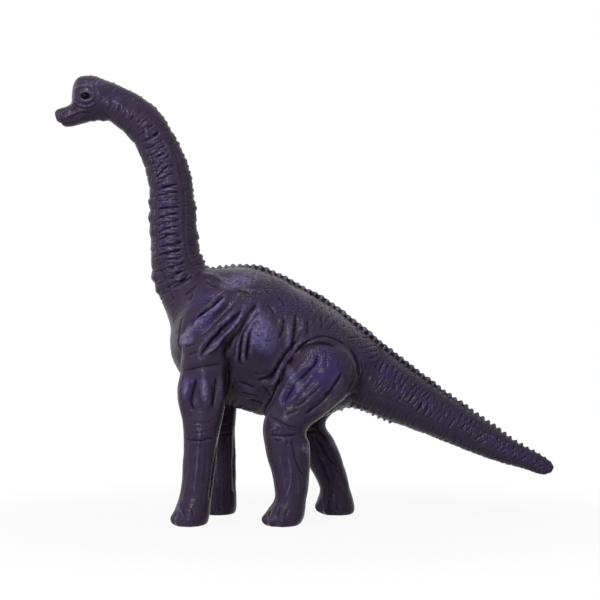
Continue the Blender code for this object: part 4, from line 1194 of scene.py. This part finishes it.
def keep_paint(data, edges, points, places, facing):
    """Stores where violet was sprayed, and where painted shade and painted highlights go."""
    normals = normals_of(data)
    near = ((relaxed(points, edges, NEAR_ROUNDS) - points) * normals).sum(1) / MM
    broad = ((relaxed(points, edges, BROAD_ROUNDS) - points) * normals).sum(1) / MM
    violet = np.zeros(len(points))
    for centre, radii, turn, strength in VIOLET_PATCHES_PX:
        violet = np.maximum(violet, patch_share(places, centre, radii, turn) ** 0.6 * strength)
    # Painted shade: darker where the skin lies below the skin around it, in creases and hollows
    hollow = paint_share(near, *NEAR_HOLLOW) + paint_share(broad, *BROAD_HOLLOW)
    # Painted highlight: paler where the skin stands above the skin around it, and on the listed patches
    raised = paint_share(-near, *NEAR_RAISED) + paint_share(-broad, *BROAD_RAISED)
    for centre, radii, turn, strength in PAINTED_HIGHLIGHT_PATCHES_PX:
        raised += patch_share(places, centre, radii, turn) ** 0.5 * strength * facing
    # Painted shade: a little darker where the skin faces downwards
    under = ramp(-normals[:, 2], 0.15, 0.9)
    for name, values in (
        ("violet", violet * (0.4 + 0.6 * facing)),
        ("hollow", np.clip(hollow, 0, 1)),
        ("raised", np.clip(raised, 0, 1)),
        ("under", under),
    ):
        layer = data.attributes.new(name, "FLOAT", "POINT")
        layer.data.foreach_set("value", values.astype(np.float32))


def add_node(tree, kind, settings=None, links=None):
    """A node with its settings and inputs; an input may be a value or another node's output."""
    made = tree.nodes.new(kind)
    for name, value in (settings or {}).items():
        setattr(made, name, value)
    for name, value in (links or {}).items():
        if isinstance(value, bpy.types.NodeSocket):
            tree.links.new(value, made.inputs[name])
        else:
            made.inputs[name].default_value = value
    return made


def linear(code):
    """A colour written as sRGB hex, made linear."""
    made = []
    for k in (1, 3, 5):
        value = int(code[k : k + 2], 16) / 255
        made.append(value / 12.92 if value <= 0.04045 else ((value + 0.055) / 1.055) ** 2.4)
    return (*made, 1)


def new_material(name):
    """A material with its node tree and its main shader."""
    made = bpy.data.materials.new(name)
    made.use_nodes = True
    return made, made.node_tree, made.node_tree.nodes["Principled BSDF"]


def soft_vinyl():
    """Rotocast soft PVC, spray-painted: satin, with violet sprayed on the muscles.

    Painted shade darkens the folds, hollows and undersides, and painted highlights make the
    high spots paler, so the folds read in the paint as well as in the form. Its skin has a fine
    grain of small scales.
    """
    made, tree, shader = new_material("soft_vinyl_purple")
    coordinates = add_node(tree, "ShaderNodeTexCoord").outputs["Object"]
    paint = {}
    for name in ("violet", "hollow", "raised", "under"):
        paint[name] = add_node(tree, "ShaderNodeAttribute", {"attribute_name": name}).outputs["Fac"]
    mist = add_node(
        tree, "ShaderNodeTexNoise", None, {"Vector": coordinates, "Scale": 1 / (5 * MM), "Detail": 5.0}
    ).outputs["Fac"]
    speckle = add_node(
        tree, "ShaderNodeTexNoise", None, {"Vector": coordinates, "Scale": 1 / (2.0 * MM), "Detail": 4.0}
    ).outputs["Fac"]
    uneven = add_node(
        tree, "ShaderNodeMapRange", None, {"Value": mist, "From Min": 0.30, "From Max": 0.60}
    ).outputs[0]
    sprayed = add_node(
        tree, "ShaderNodeMath", {"operation": "MULTIPLY"}, {0: paint["violet"], 1: uneven}
    ).outputs[0]
    # Speckles that break up the painted highlight
    highlight_breakup = add_node(
        tree, "ShaderNodeMapRange", None, {"Value": speckle, "From Min": 0.25, "From Max": 0.62}
    ).outputs[0]
    painted_highlight = add_node(
        tree, "ShaderNodeMath", {"operation": "MULTIPLY"}, {0: paint["raised"], 1: highlight_breakup}
    ).outputs[0]
    tint = add_node(
        tree, "ShaderNodeMix", {"data_type": "RGBA"}, {0: mist, 6: linear("#32273A"), 7: linear("#43384B")}
    ).outputs[2]
    # Violet is sprayed paint; then painted shade underneath, painted shade in the hollows and a painted
    # highlight on the high spots
    for share, strength, colour in (
        (sprayed, 0.62, "#352B78"),
        (paint["under"], 0.12, "#2C202F"),
        (paint["hollow"], 0.95, "#0B080F"),
        (painted_highlight, 0.48, "#9A92C2"),
    ):
        amount = add_node(
            tree, "ShaderNodeMath", {"operation": "MULTIPLY", "use_clamp": True}, {0: share, 1: strength}
        ).outputs[0]
        tint = add_node(
            tree, "ShaderNodeMix", {"data_type": "RGBA"}, {0: amount, 6: tint, 7: linear(colour)}
        ).outputs[2]
    tree.links.new(tint, shader.inputs["Base Color"])
    satin = add_node(
        tree, "ShaderNodeMapRange", None, {"Value": mist, "To Min": 0.19, "To Max": 0.32}
    ).outputs[0]
    rough = add_node(
        tree, "ShaderNodeMath", {"operation": "MULTIPLY_ADD"}, {0: paint["hollow"], 1: 0.18, 2: satin}
    ).outputs[0]
    tree.links.new(rough, shader.inputs["Roughness"])
    # Scales of 0.9 mm, and the mould's grain of 0.35 mm. A pixel of the render is about 0.6 mm
    # wide, so the grain shows only as highlights that break up.
    scales = add_node(
        tree,
        "ShaderNodeTexVoronoi",
        {"feature": "SMOOTH_F1"},
        {"Vector": coordinates, "Scale": 1 / (0.9 * MM)},
    ).outputs["Distance"]
    grain = add_node(
        tree, "ShaderNodeTexNoise", None, {"Vector": coordinates, "Scale": 1 / (0.35 * MM), "Detail": 2.0}
    ).outputs["Fac"]
    coarse = add_node(
        tree,
        "ShaderNodeBump",
        {"invert": True},
        {"Strength": 0.6, "Distance": 0.16 * MM, "Height": scales},
    )
    fine = add_node(
        tree,
        "ShaderNodeBump",
        None,
        {"Strength": 0.25, "Distance": 0.05 * MM, "Height": grain, "Normal": coarse.outputs["Normal"]},
    )
    tree.links.new(fine.outputs["Normal"], shader.inputs["Normal"])
    # Matt lacquer on the vinyl: a low index, so that edges stay as dark as the rest
    shader.inputs["IOR"].default_value = 1.2
    shader.inputs["Specular IOR Level"].default_value = 0.46
    return made


def eye_gloss():
    """Injection-moulded black styrene bead: deep brown-black with a clear, wet shine."""
    made, tree, shader = new_material("moulded_styrene_black")
    coordinates = add_node(tree, "ShaderNodeTexCoord").outputs["Object"]
    smoke = add_node(
        tree, "ShaderNodeTexNoise", None, {"Vector": coordinates, "Scale": 1 / (1.5 * MM), "Detail": 2.0}
    ).outputs["Fac"]
    colour = add_node(
        tree, "ShaderNodeMix", {"data_type": "RGBA"}, {0: smoke, 6: linear("#040405"), 7: linear("#0A080A")}
    ).outputs[2]
    tree.links.new(colour, shader.inputs["Base Color"])
    haze = add_node(
        tree, "ShaderNodeMapRange", None, {"Value": smoke, "To Min": 0.04, "To Max": 0.12}
    ).outputs[0]
    tree.links.new(haze, shader.inputs["Roughness"])
    shader.inputs["IOR"].default_value = 1.59
    shader.inputs["Specular IOR Level"].default_value = 0.05
    return made


def plug_plastic():
    """Injection-moulded natural polyethylene: milky off-white, waxy, with faint flow marks."""
    made, tree, shader = new_material("moulded_polyethylene_natural")
    coordinates = add_node(tree, "ShaderNodeTexCoord").outputs["Object"]
    flow = add_node(
        tree,
        "ShaderNodeTexNoise",
        None,
        {"Vector": coordinates, "Scale": 1 / (4 * MM), "Detail": 3.0, "Distortion": 1.2},
    ).outputs["Fac"]
    colour = add_node(
        tree, "ShaderNodeMix", {"data_type": "RGBA"}, {0: flow, 6: linear("#D9D4C6"), 7: linear("#C8C2B2")}
    ).outputs[2]
    tree.links.new(colour, shader.inputs["Base Color"])
    wax = add_node(
        tree, "ShaderNodeMapRange", None, {"Value": flow, "To Min": 0.38, "To Max": 0.52}
    ).outputs[0]
    tree.links.new(wax, shader.inputs["Roughness"])
    bump = add_node(tree, "ShaderNodeBump", None, {"Strength": 0.2, "Distance": 0.05 * MM, "Height": flow})
    tree.links.new(bump.outputs["Normal"], shader.inputs["Normal"])
    shader.inputs["IOR"].default_value = 1.51
    return made


def scute_tree():
    """Geometry Nodes: a row of scutes along a line, each a rounded crest on a rib that drapes
    over both sides, and each a little different in size."""
    tree = bpy.data.node_groups.new("scute_row", "GeometryNodeTree")
    face = tree.interface
    face.new_socket("Line", in_out="INPUT", socket_type="NodeSocketGeometry")
    for name, kind in (
        ("Pitch", "NodeSocketFloat"),
        ("Crest Size", "NodeSocketVector"),
        ("Crest Sink", "NodeSocketFloat"),
        ("Rib Size", "NodeSocketVector"),
        ("Rib Sink", "NodeSocketFloat"),
        ("Variation", "NodeSocketFloat"),
        ("Seed", "NodeSocketInt"),
        ("Vinyl", "NodeSocketMaterial"),
    ):
        face.new_socket(name, in_out="INPUT", socket_type=kind)
    face.new_socket("Scutes", in_out="OUTPUT", socket_type="NodeSocketGeometry")
    given = add_node(tree, "NodeGroupInput").outputs
    curve = add_node(tree, "GeometryNodeMeshToCurve", None, {"Mesh": given["Line"]})
    even = add_node(
        tree,
        "GeometryNodeResampleCurve",
        {"mode": "LENGTH"},
        {"Curve": curve.outputs[0], "Length": given["Pitch"]},
    )
    ball = add_node(
        tree, "GeometryNodeMeshIcoSphere", None, {"Radius": 0.5, "Subdivisions": 3}
    ).outputs["Mesh"]
    parts = []
    for part in ("Crest", "Rib"):
        down = add_node(
            tree, "ShaderNodeMath", {"operation": "MULTIPLY"}, {0: given[part + " Sink"], 1: -1.0}
        )
        place = add_node(tree, "ShaderNodeCombineXYZ", None, {2: down.outputs[0]})
        parts.append(
            add_node(
                tree,
                "GeometryNodeTransform",
                None,
                {"Geometry": ball, "Translation": place.outputs[0], "Scale": given[part + " Size"]},
            ).outputs[0]
        )
    scute = add_node(tree, "GeometryNodeJoinGeometry")
    for part in parts:
        tree.links.new(part, scute.inputs[0])
    tangent = add_node(tree, "GeometryNodeInputTangent").outputs[0]
    turned = add_node(tree, "FunctionNodeAlignRotationToVector", {"axis": "X"}, {"Vector": tangent})
    least = add_node(tree, "ShaderNodeMath", {"operation": "SUBTRACT"}, {0: 1.0, 1: given["Variation"]})
    most = add_node(tree, "ShaderNodeMath", {"operation": "ADD"}, {0: 1.0, 1: given["Variation"]})
    chance = add_node(tree, "FunctionNodeRandomValue", {"data_type": "FLOAT"})
    tree.links.new(least.outputs[0], chance.inputs[2])
    tree.links.new(most.outputs[0], chance.inputs[3])
    tree.links.new(given["Seed"], chance.inputs["Seed"])
    named = add_node(tree, "GeometryNodeInputNamedAttribute", {"data_type": "FLOAT"}, {"Name": "size"})
    scale = add_node(
        tree, "ShaderNodeMath", {"operation": "MULTIPLY"}, {0: chance.outputs[1], 1: named.outputs[0]}
    )
    placed = add_node(
        tree,
        "GeometryNodeInstanceOnPoints",
        None,
        {
            "Points": even.outputs[0],
            "Instance": scute.outputs[0],
            "Rotation": turned.outputs[0],
            "Scale": scale.outputs[0],
        },
    )
    real = add_node(tree, "GeometryNodeRealizeInstances", None, {"Geometry": placed.outputs[0]})
    dressed = add_node(
        tree, "GeometryNodeSetMaterial", None, {"Geometry": real.outputs[0], "Material": given["Vinyl"]}
    )
    add_node(tree, "NodeGroupOutput", None, {"Scutes": dressed.outputs[0]})
    return tree


def scutes(name, line, look, rib_size=RIB_SIZE):
    """A row of scutes along a line on the middle plane, as one plain mesh."""
    pitch, seed, shares, scales = look
    sizes = np.interp(np.linspace(0, 1, len(line)), shares, scales)
    data = bpy.data.meshes.new(name)
    points = [(x, 0, z) for x, z in line]
    data.from_pydata(points, [(k, k + 1) for k in range(len(points) - 1)], [])
    layer = data.attributes.new("size", "FLOAT", "POINT")
    layer.data.foreach_set("value", np.array(sizes, dtype=np.float32))
    made = new_object(name, data)
    modifier = made.modifiers.new("scute_row", "NODES")
    modifier.node_group = SCUTES
    wanted = {
        "Pitch": pitch,
        "Crest Size": CREST_SIZE,
        "Crest Sink": CREST_SINK,
        "Rib Size": rib_size,
        "Rib Sink": RIB_SINK,
        "Variation": SCUTE_VARIATION,
        "Seed": seed,
        "Vinyl": VINYL,
    }
    for socket in SCUTES.interface.items_tree:
        if socket.name in wanted:
            modifier[socket.identifier] = wanted[socket.name]
    return settle(made)


def back_line(rows, start, end, sink=0.0):
    """The line along a form's back between two shares of its run, sunk by a depth."""
    even = even_rows(rows, BACK_STEPS + 1)
    part = even[round(start * BACK_STEPS) : round(end * BACK_STEPS) + 1]
    inward = part[:, 2:4] - part[:, 0:2]
    inward /= np.linalg.norm(inward, axis=1)[:, None]
    return part[:, 0:2] + inward * sink


def under_line(rows, start, end):
    """The line along a form's underside between two shares of its run, from its far end."""
    even = even_rows(rows, BACK_STEPS + 1)
    return even[round(start * BACK_STEPS) : round(end * BACK_STEPS) + 1, 2:4][::-1]


def joint_cuts(name, joint):
    """Cutters that a limb gets for its plug: the shaft's hole and the base's seat behind it."""
    point, inward = joint
    start = point + inward * GAP
    behind = point - inward * END_WALL
    floor = behind - inward * (PLUG_BASE_THICKNESS + 2 * GAP)
    through = behind - inward * GAP
    hole = rod(name + "_hole", PLUG_SHAFT_RADIUS + GAP, start, through, PLUG_SIDES)
    seat = rod(name + "_seat", PLUG_BASE_RADIUS + GAP, behind, floor, PLUG_SIDES)
    return [hole, seat]


def torso_cuts(name, joint):
    """Cutters that the torso gets for a plug: its shaft's hole and room for its split head."""
    point, inward = joint
    start = point - inward * GAP
    behind = point + inward * (WALL + GAP)
    through = behind + inward * GAP
    end = through + inward * (PLUG_HEAD_LENGTH + GAP)
    hole = rod(name + "_hole", PLUG_SHAFT_RADIUS + GAP, start, through, PLUG_SIDES)
    room = rod(name + "_room", PLUG_SHAFT_RADIUS + PLUG_BARB + GAP, behind, end, PLUG_SIDES)
    return [hole, room]


def section_joint(row, towards):
    """The joint at a section cut square across, and the way into the torso."""
    first, last = Vector((row[0], 0, row[1])), Vector((row[2], 0, row[3]))
    normal = (first - last).cross(Vector((0, 1, 0))).normalized()
    middle = (first + last) / 2
    if normal.dot(towards - middle) < 0:
        normal = -normal
    return middle, normal


def make_torso():
    """The body: scutes along its back, round seats in its flanks, flat ends."""
    rows = np.vstack([NECK[2], NECK[1], TORSO, TAIL[1], TAIL[2]])
    made = loft("torso_skin", rows, *TORSO_LOFT)
    row = scutes("back_scutes", back_line(TORSO, *BACK_RUN), BACK_SCUTES)
    keel = scutes("root_keel", under_line(TORSO, *ROOT_KEEL_RUN), ROOT_KEEL)
    reskin(made, [row, keel], TORSO_GRAIN)
    lines = SHOULDER_LINES_PX + FLANK_LINES_PX + THIGH_LINES_PX + NECK_LINES_PX + TAIL_LINES_PX
    sculpt(made, rows, lines, TORSO_SWELLINGS_PX, TORSO_BANDS, BODY_WIDTH / 2, TORSO_SEED)
    cuts = [
        far_half("front_cut", NECK_JOINT[0], -NECK_JOINT[1]),
        far_half("rear_cut", TAIL_JOINT[0], -TAIL_JOINT[1]),
    ]
    for name, joint, radius, _ in LEG_SEATS:
        cuts.append(rod(name + "_pocket", radius + SEAM, joint[0], joint[0] - joint[1] * CUT_OVERRUN))
        cuts += torso_cuts(name, joint)
    cuts += torso_cuts("neck", NECK_JOINT) + torso_cuts("tail", TAIL_JOINT)
    return combine(made, cuts)


def mouth_cut():
    """A thin curved plate that parts the jaws."""
    path = smooth_curve(np.array(MOUTH_PX, dtype=float), MOUTH_STEPS)
    half = MOUTH_SLIT / 2
    points, faces = [], []
    for n, pixel in enumerate(path):
        share = n / (len(path) - 1)
        open_by = half * (1 - MOUTH_CLOSING * share)
        middle = in_metres(pixel, 0)
        for y in (-NECK_WIDTH, NECK_WIDTH):
            for lift in (-open_by, open_by):
                points.append((middle.x, y, middle.z + lift))
    for n in range(len(path) - 1):
        a, b = n * 4, n * 4 + 4
        for one, two in ((0, 1), (1, 3), (3, 2), (2, 0)):
            faces.append((a + one, a + two, b + two, b + one))
    last = (len(path) - 1) * 4
    faces.append((0, 1, 3, 2))
    faces.append((last, last + 1, last + 3, last + 2))
    return solid("mouth_cut", points, faces)


def bead(name, side, room=0.0, sides=EYE_SIDES):
    """A rounded almond bead in its socket, larger by room all round."""
    centre = in_metres(EYE_PX, side * EYE_OUT)
    size = Vector(EYE_SIZE) + Vector((2 * room,) * 3)
    mesh = bmesh.new()
    place = Matrix.Translation(centre) @ Matrix.Rotation(EYE_TURN, 4, "Y")
    bmesh.ops.create_uvsphere(mesh, u_segments=sides, v_segments=sides // 2, radius=0.5)
    for vertex in mesh.verts:
        point = vertex.co * 2
        pinch = 1 - EYE_PINCH * abs(point.x) ** 3
        vertex.co = Vector((point.x * size.x, point.y * size.y, point.z * size.z * pinch)) / 2
    mesh.transform(place)
    made = object_from(name, mesh)
    made.data.shade_smooth()
    return made


def make_neck():
    """The neck and head: one moulding with a parted mouth and sockets for the eyes."""
    rows = np.vstack([TORSO[2], TORSO[1], NECK, HEAD])
    made = loft("neck_and_head_skin", rows, *NECK_LOFT)
    nape = np.vstack([NECK, HEAD[:4]])
    row = scutes("nape_scutes", back_line(nape, *NAPE_RUN, NAPE_SINK)[::-1], NAPE_SCUTES)
    reskin(made, [row], NECK_GRAIN)
    lines = HEAD_LINES_PX + NECK_LINES_PX + SHOULDER_LINES_PX
    swellings = HEAD_SWELLINGS_PX + NECK_SWELLINGS_PX + TORSO_SWELLINGS_PX
    sculpt(made, rows, lines, swellings, NECK_BANDS, NECK_WIDTH / 2, NECK_SEED)
    point, inward = NECK_JOINT
    cuts = [far_half("foot_cut", point - inward * SEAM, inward), mouth_cut()]
    cuts += [bead(word + "_socket", side, EYE_ROOM, SOCKET_SIDES) for side, word in SIDES]
    return combine(made, cuts + joint_cuts("neck", NECK_JOINT))


def make_tail():
    """The tail with its row of scutes."""
    rows = np.vstack([TORSO[-3], TORSO[-2], TAIL])
    made = loft("tail_skin", rows, *TAIL_LOFT)
    row = scutes("tail_scutes", back_line(TAIL, *TAIL_RUN), TAIL_SCUTES, TAIL_RIB_SIZE)
    keel = scutes("tail_keel", under_line(TAIL, *TAIL_KEEL_RUN), TAIL_KEEL)
    reskin(made, [row, keel], TAIL_GRAIN)
    lines = TAIL_LINES_PX + THIGH_LINES_PX
    swellings = TAIL_SWELLINGS_PX + TORSO_SWELLINGS_PX
    sculpt(made, rows, lines, swellings, TAIL_BANDS, TAIL_WIDTH / 3, TAIL_SEED)
    point, inward = TAIL_JOINT
    cuts = [far_half("root_cut", point - inward * SEAM, inward)]
    return combine(made, cuts + joint_cuts("tail", TAIL_JOINT))


def make_leg(name, shares, width, lines, joint, radius, stride, nails, seed):
    """A leg: the flank's own skin over its round seat, grown together with the limb."""
    point, inward = joint
    side = -inward.y
    rows = leg_rows(shares, width, side, point, stride)
    made = loft(name, rows, *LEG_LOFT)
    disc = rod(name + "_disc", radius + DISC_MARGIN, point, point - inward * CUT_OVERRUN)
    combine(disc, [loft(name + "_flank", TORSO, *FLANK_LOFT)], "INTERSECT")
    reskin(made, [disc], LEG_GRAIN)
    blend_seat(made)
    swellings = TORSO_SWELLINGS_PX + LEG_SWELLINGS_PX
    sculpt(made, rows, lines, swellings, (), width / 2, seed, LEG_WRINKLES, stride, point.z)
    shape_toes(made, rows, side, nails)
    axis_start = Vector((point.x, 0, point.z))
    beside = loft(name + "_beside", TORSO, *BESIDE_LOFT, FLANK_CLEARANCE)
    combine(beside, [rod(name + "_kept", radius, axis_start, point - inward * CUT_OVERRUN)])
    face = abs(point.y) + SEAM
    low, high = INNER_SLOPE_SHARES[0] * HEIGHT, INNER_SLOPE_SHARES[1] * HEIGHT
    inside = block(name + "_inside", (-BEYOND, -face, high), (BEYOND, face, BEYOND))
    middle = block(name + "_middle", (-BEYOND, -face / 2, low), (BEYOND, face / 2, BEYOND))
    return combine(made, [beside, inside, middle] + joint_cuts(name, joint))


def blend_seat(made):
    """Lets the limb run softly into the skin round its seat."""
    data = made.data
    edges = edges_of(data)
    points = points_of(data)
    high = ramp(points[:, 2], SEAT_SHARES[0] * HEIGHT, SEAT_SHARES[1] * HEIGHT)
    set_points(data, relaxed(points, edges, SEAT_ROUNDS, (0.5 * high)[:, None]))


def toe_distance(points, centre, reach, side, turn, size):
    """How far points lie from a toe round the front of a foot, in units of its size."""
    angle = math.radians(turn)
    spot = centre + reach * (-math.cos(angle), side * math.sin(angle))
    return np.linalg.norm((points - np.array([*spot, TOE_HEIGHT])) / size, axis=1)


def shape_toes(made, rows, side, nails):
    """Rounds out toe nails round the front of the foot and keeps the sole flat."""
    data = made.data
    points = points_of(data)
    normals = normals_of(data)
    foot = rows[-3]
    centre = np.array([(foot[0] + foot[2]) / 2, foot[4]])
    reach = np.array([abs(foot[2] - foot[0]) / 2, foot[5]])
    height = np.zeros(len(points))
    for turn in TOE_TURNS:
        away = toe_distance(points, centre, reach, side, turn, TOE_SIZE)
        height += nails * np.exp(-(away**2) * TOE_SHARPNESS)
    for turn in TOE_GAPS:
        away = toe_distance(points, centre, reach, side, turn, TOE_GAP_SIZE)
        height -= TOE_GAP_SHARE * nails * np.exp(-(away**2))
    points = points + normals * height[:, None]
    points[:, 2] = np.where(points[:, 2] < SOLE_FLAT, np.maximum(points[:, 2], 0), points[:, 2])
    set_points(data, points)


def finish(made, node, body, material):
    """Dresses a finished piece, ties it to its body and hides its CAD node."""
    made.data.materials.clear()
    made.data.materials.append(material)
    made.data.polygons.foreach_set("material_index", np.zeros(len(made.data.polygons), dtype=np.int32))
    made.data.shade_smooth()
    made.data.set_sharp_from_angle(angle=SHARP_ANGLE)
    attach(made, body)
    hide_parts(node)


TORSO = under_crest(rows_in_metres(TORSO_SHARES, BODY_WIDTH), TORSO_CREST_DROP_MM)
NECK = rows_in_metres(NECK_SHARES, NECK_WIDTH)
HEAD = rows_in_metres(HEAD_SHARES, NECK_WIDTH)
TAIL = under_crest(rows_in_metres(TAIL_SHARES, TAIL_WIDTH), TAIL_CREST_DROP_MM)
BODY_MIDDLE = Vector((0, 0, 0.4 * HEIGHT))
NECK_JOINT = section_joint(TORSO[0], BODY_MIDDLE)
TAIL_JOINT = section_joint(TORSO[-1], BODY_MIDDLE)
LEG_SEATS = []
for SIDE, WORD in SIDES:
    INWARD = Vector((0, -SIDE, 0))
    SHOULDER = Vector((SHOULDER_SHARES[0] * LENGTH, SIDE * SHOULDER_SPACING / 2, SHOULDER_SHARES[1] * HEIGHT))
    HIP = Vector((HIP_SHARES[0] * LENGTH, SIDE * HIP_SPACING / 2, HIP_SHARES[1] * HEIGHT))
    LEG_SEATS.append((WORD + "_foreleg", (SHOULDER, INWARD), SHOULDER_RADIUS, FORE_STRIDE * (SIDE > 0)))
    LEG_SEATS.append((WORD + "_hind_leg", (HIP, INWARD), HIP_RADIUS, HIND_STRIDE * (SIDE > 0)))

VINYL = soft_vinyl()
EYE_GLOSS = eye_gloss()
PLUG_PLASTIC = plug_plastic()
SCUTES = scute_tree()

finish(make_torso(), "torso_shell", "torso", VINYL)
finish(make_neck(), "neck_and_head", "neck", VINYL)
finish(make_tail(), "tail", "tail", VINYL)
FORELEG_LOOK = (FORELEG_SHARES, FORELEG_WIDTH, SHOULDER_LINES_PX + FORELEG_LINES_PX + FLANK_LINES_PX)
HIND_LEG_LOOK = (HIND_LEG_SHARES, HIND_LEG_WIDTH, THIGH_LINES_PX + HIND_LEG_LINES_PX + FLANK_LINES_PX)
for SEED, (NAME, JOINT, RADIUS, STRIDE) in enumerate(LEG_SEATS, LEG_SEED):
    IS_FORE = NAME.endswith("foreleg")
    LOOK = FORELEG_LOOK if IS_FORE else HIND_LEG_LOOK
    NAILS = FORE_NAILS if IS_FORE else HIND_NAILS
    LIMB = make_leg(NAME + "_skin", *LOOK, JOINT, RADIUS, STRIDE, NAILS, SEED)
    finish(LIMB, NAME, NAME, VINYL)
for SIDE, WORD in SIDES:
    finish(bead(WORD + "_eye_bead", SIDE), WORD + "_eye", "neck", EYE_GLOSS)
for NAME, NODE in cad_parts.items():
    if NAME.endswith("_plug"):
        for SLOT in NODE.material_slots:
            SLOT.link = "OBJECT"
            SLOT.material = PLUG_PLASTIC


def seen_white(tree):
    """1 for what the camera, reflections and clear things see, and 0 for light that falls."""
    rays = add_node(tree, "ShaderNodeLightPath").outputs
    seen = rays["Is Camera Ray"]
    for kind in ("Is Glossy Ray", "Is Transmission Ray"):
        seen = add_node(tree, "ShaderNodeMath", {"operation": "MAXIMUM"}, {0: seen, 1: rays[kind]}).outputs[0]
    return seen


# Floor: pale card. The camera sees it turn white away from the figure, and softly shaded near it
CARD, CARD_TREE, CARD_SHADER = new_material("matt_card_pale")
HERE = add_node(CARD_TREE, "ShaderNodeTexCoord").outputs["Object"]
FIBRES = add_node(
    CARD_TREE, "ShaderNodeTexNoise", None, {"Vector": HERE, "Scale": 1 / (0.8 * MM), "Detail": 2.0}
).outputs["Fac"]
CARD_COLOUR = add_node(
    CARD_TREE, "ShaderNodeMix", {"data_type": "RGBA"}, {0: FIBRES, 6: linear("#A9A9AB"), 7: linear("#AFAFB0")}
).outputs[2]
CARD_TREE.links.new(CARD_COLOUR, CARD_SHADER.inputs["Base Color"])
CARD_SHADER.inputs["Roughness"].default_value = 0.9
AWAY = add_node(CARD_TREE, "ShaderNodeVectorMath", {"operation": "LENGTH"}, {0: HERE}).outputs["Value"]
FADE = add_node(
    CARD_TREE,
    "ShaderNodeMapRange",
    {"interpolation_type": "SMOOTHSTEP"},
    {"Value": AWAY, "From Min": 0.12, "From Max": 0.30, "To Min": 0.93, "To Max": 1.0},
).outputs[0]
WHITENESS = add_node(
    CARD_TREE, "ShaderNodeMath", {"operation": "MULTIPLY"}, {0: seen_white(CARD_TREE), 1: FADE}
).outputs[0]
GLOW = add_node(CARD_TREE, "ShaderNodeEmission", None, {"Color": (1, 1, 1, 1), "Strength": 1.0})
CARD_MIX = add_node(
    CARD_TREE, "ShaderNodeMixShader", None, {0: WHITENESS, 1: CARD_SHADER.outputs[0], 2: GLOW.outputs[0]}
)
CARD_TREE.links.new(CARD_MIX.outputs[0], CARD_TREE.nodes["Material Output"].inputs["Surface"])
FLOOR_DATA = bpy.data.meshes.new("floor_card")
SPAN = 3
CORNERS = [(-SPAN, -SPAN, 0), (SPAN, -SPAN, 0), (SPAN, SPAN, 0), (-SPAN, SPAN, 0)]
FLOOR_DATA.from_pydata(CORNERS, [], [(0, 1, 2, 3)])
FLOOR_DATA.materials.append(CARD)
FLOOR = new_object("floor_card", FLOOR_DATA)

# World: white to the camera and in reflections, a soft grey as light
WORLD = bpy.data.worlds.new("studio")
bpy.context.scene.world = WORLD
WORLD.use_nodes = True
SKY = WORLD.node_tree
SOFT = add_node(SKY, "ShaderNodeBackground", None, {"Color": linear("#E6E8F0"), "Strength": 0.19})
WHITE = add_node(SKY, "ShaderNodeBackground", None, {"Color": (1, 1, 1, 1), "Strength": 1.0})
BOTH = add_node(
    SKY, "ShaderNodeMixShader", None, {0: seen_white(SKY), 1: SOFT.outputs[0], 2: WHITE.outputs[0]}
)
SKY.links.new(BOTH.outputs[0], SKY.nodes["World Output"].inputs["Surface"])

# Square studio lamps: name, place, size, watts and colour. Each points at the figure's middle.
LAMP_AIM = Vector((0, 0, 0.12))
for NAME, PLACE, SIZE, WATTS, COLOUR in (
    ("key_lamp", (-0.45, -0.65, 0.95), 0.15, 6.5, "#FFFDF8"),
    ("low_lamp", (-0.38, -1.25, 0.36), 0.15, 6.3, "#F4F6FF"),
    ("far_lamp", (-0.95, 0.6, 0.5), 0.6, 1.3, "#FFFFFF"),
):
    LAMP_DATA = bpy.data.lights.new(NAME, "AREA")
    LAMP_DATA.size = SIZE
    LAMP_DATA.energy = WATTS
    LAMP_DATA.color = linear(COLOUR)[:3]
    LAMP = new_object(NAME, LAMP_DATA)
    LAMP.location = PLACE
    LAMP.rotation_euler = (LAMP_AIM - Vector(PLACE)).to_track_quat("-Z", "Y").to_euler()

CAMERA_DATA = bpy.data.cameras.new("camera")
CAMERA_DATA.lens = LENS
CAMERA_DATA.sensor_width = SENSOR
CAMERA = new_object("camera", CAMERA_DATA)
CAMERA.location = CAMERA_PLACE
CAMERA.rotation_euler = (math.radians(90), 0, 0)
bpy.context.scene.camera = CAMERA
bpy.context.scene.view_settings.view_transform = "Standard"
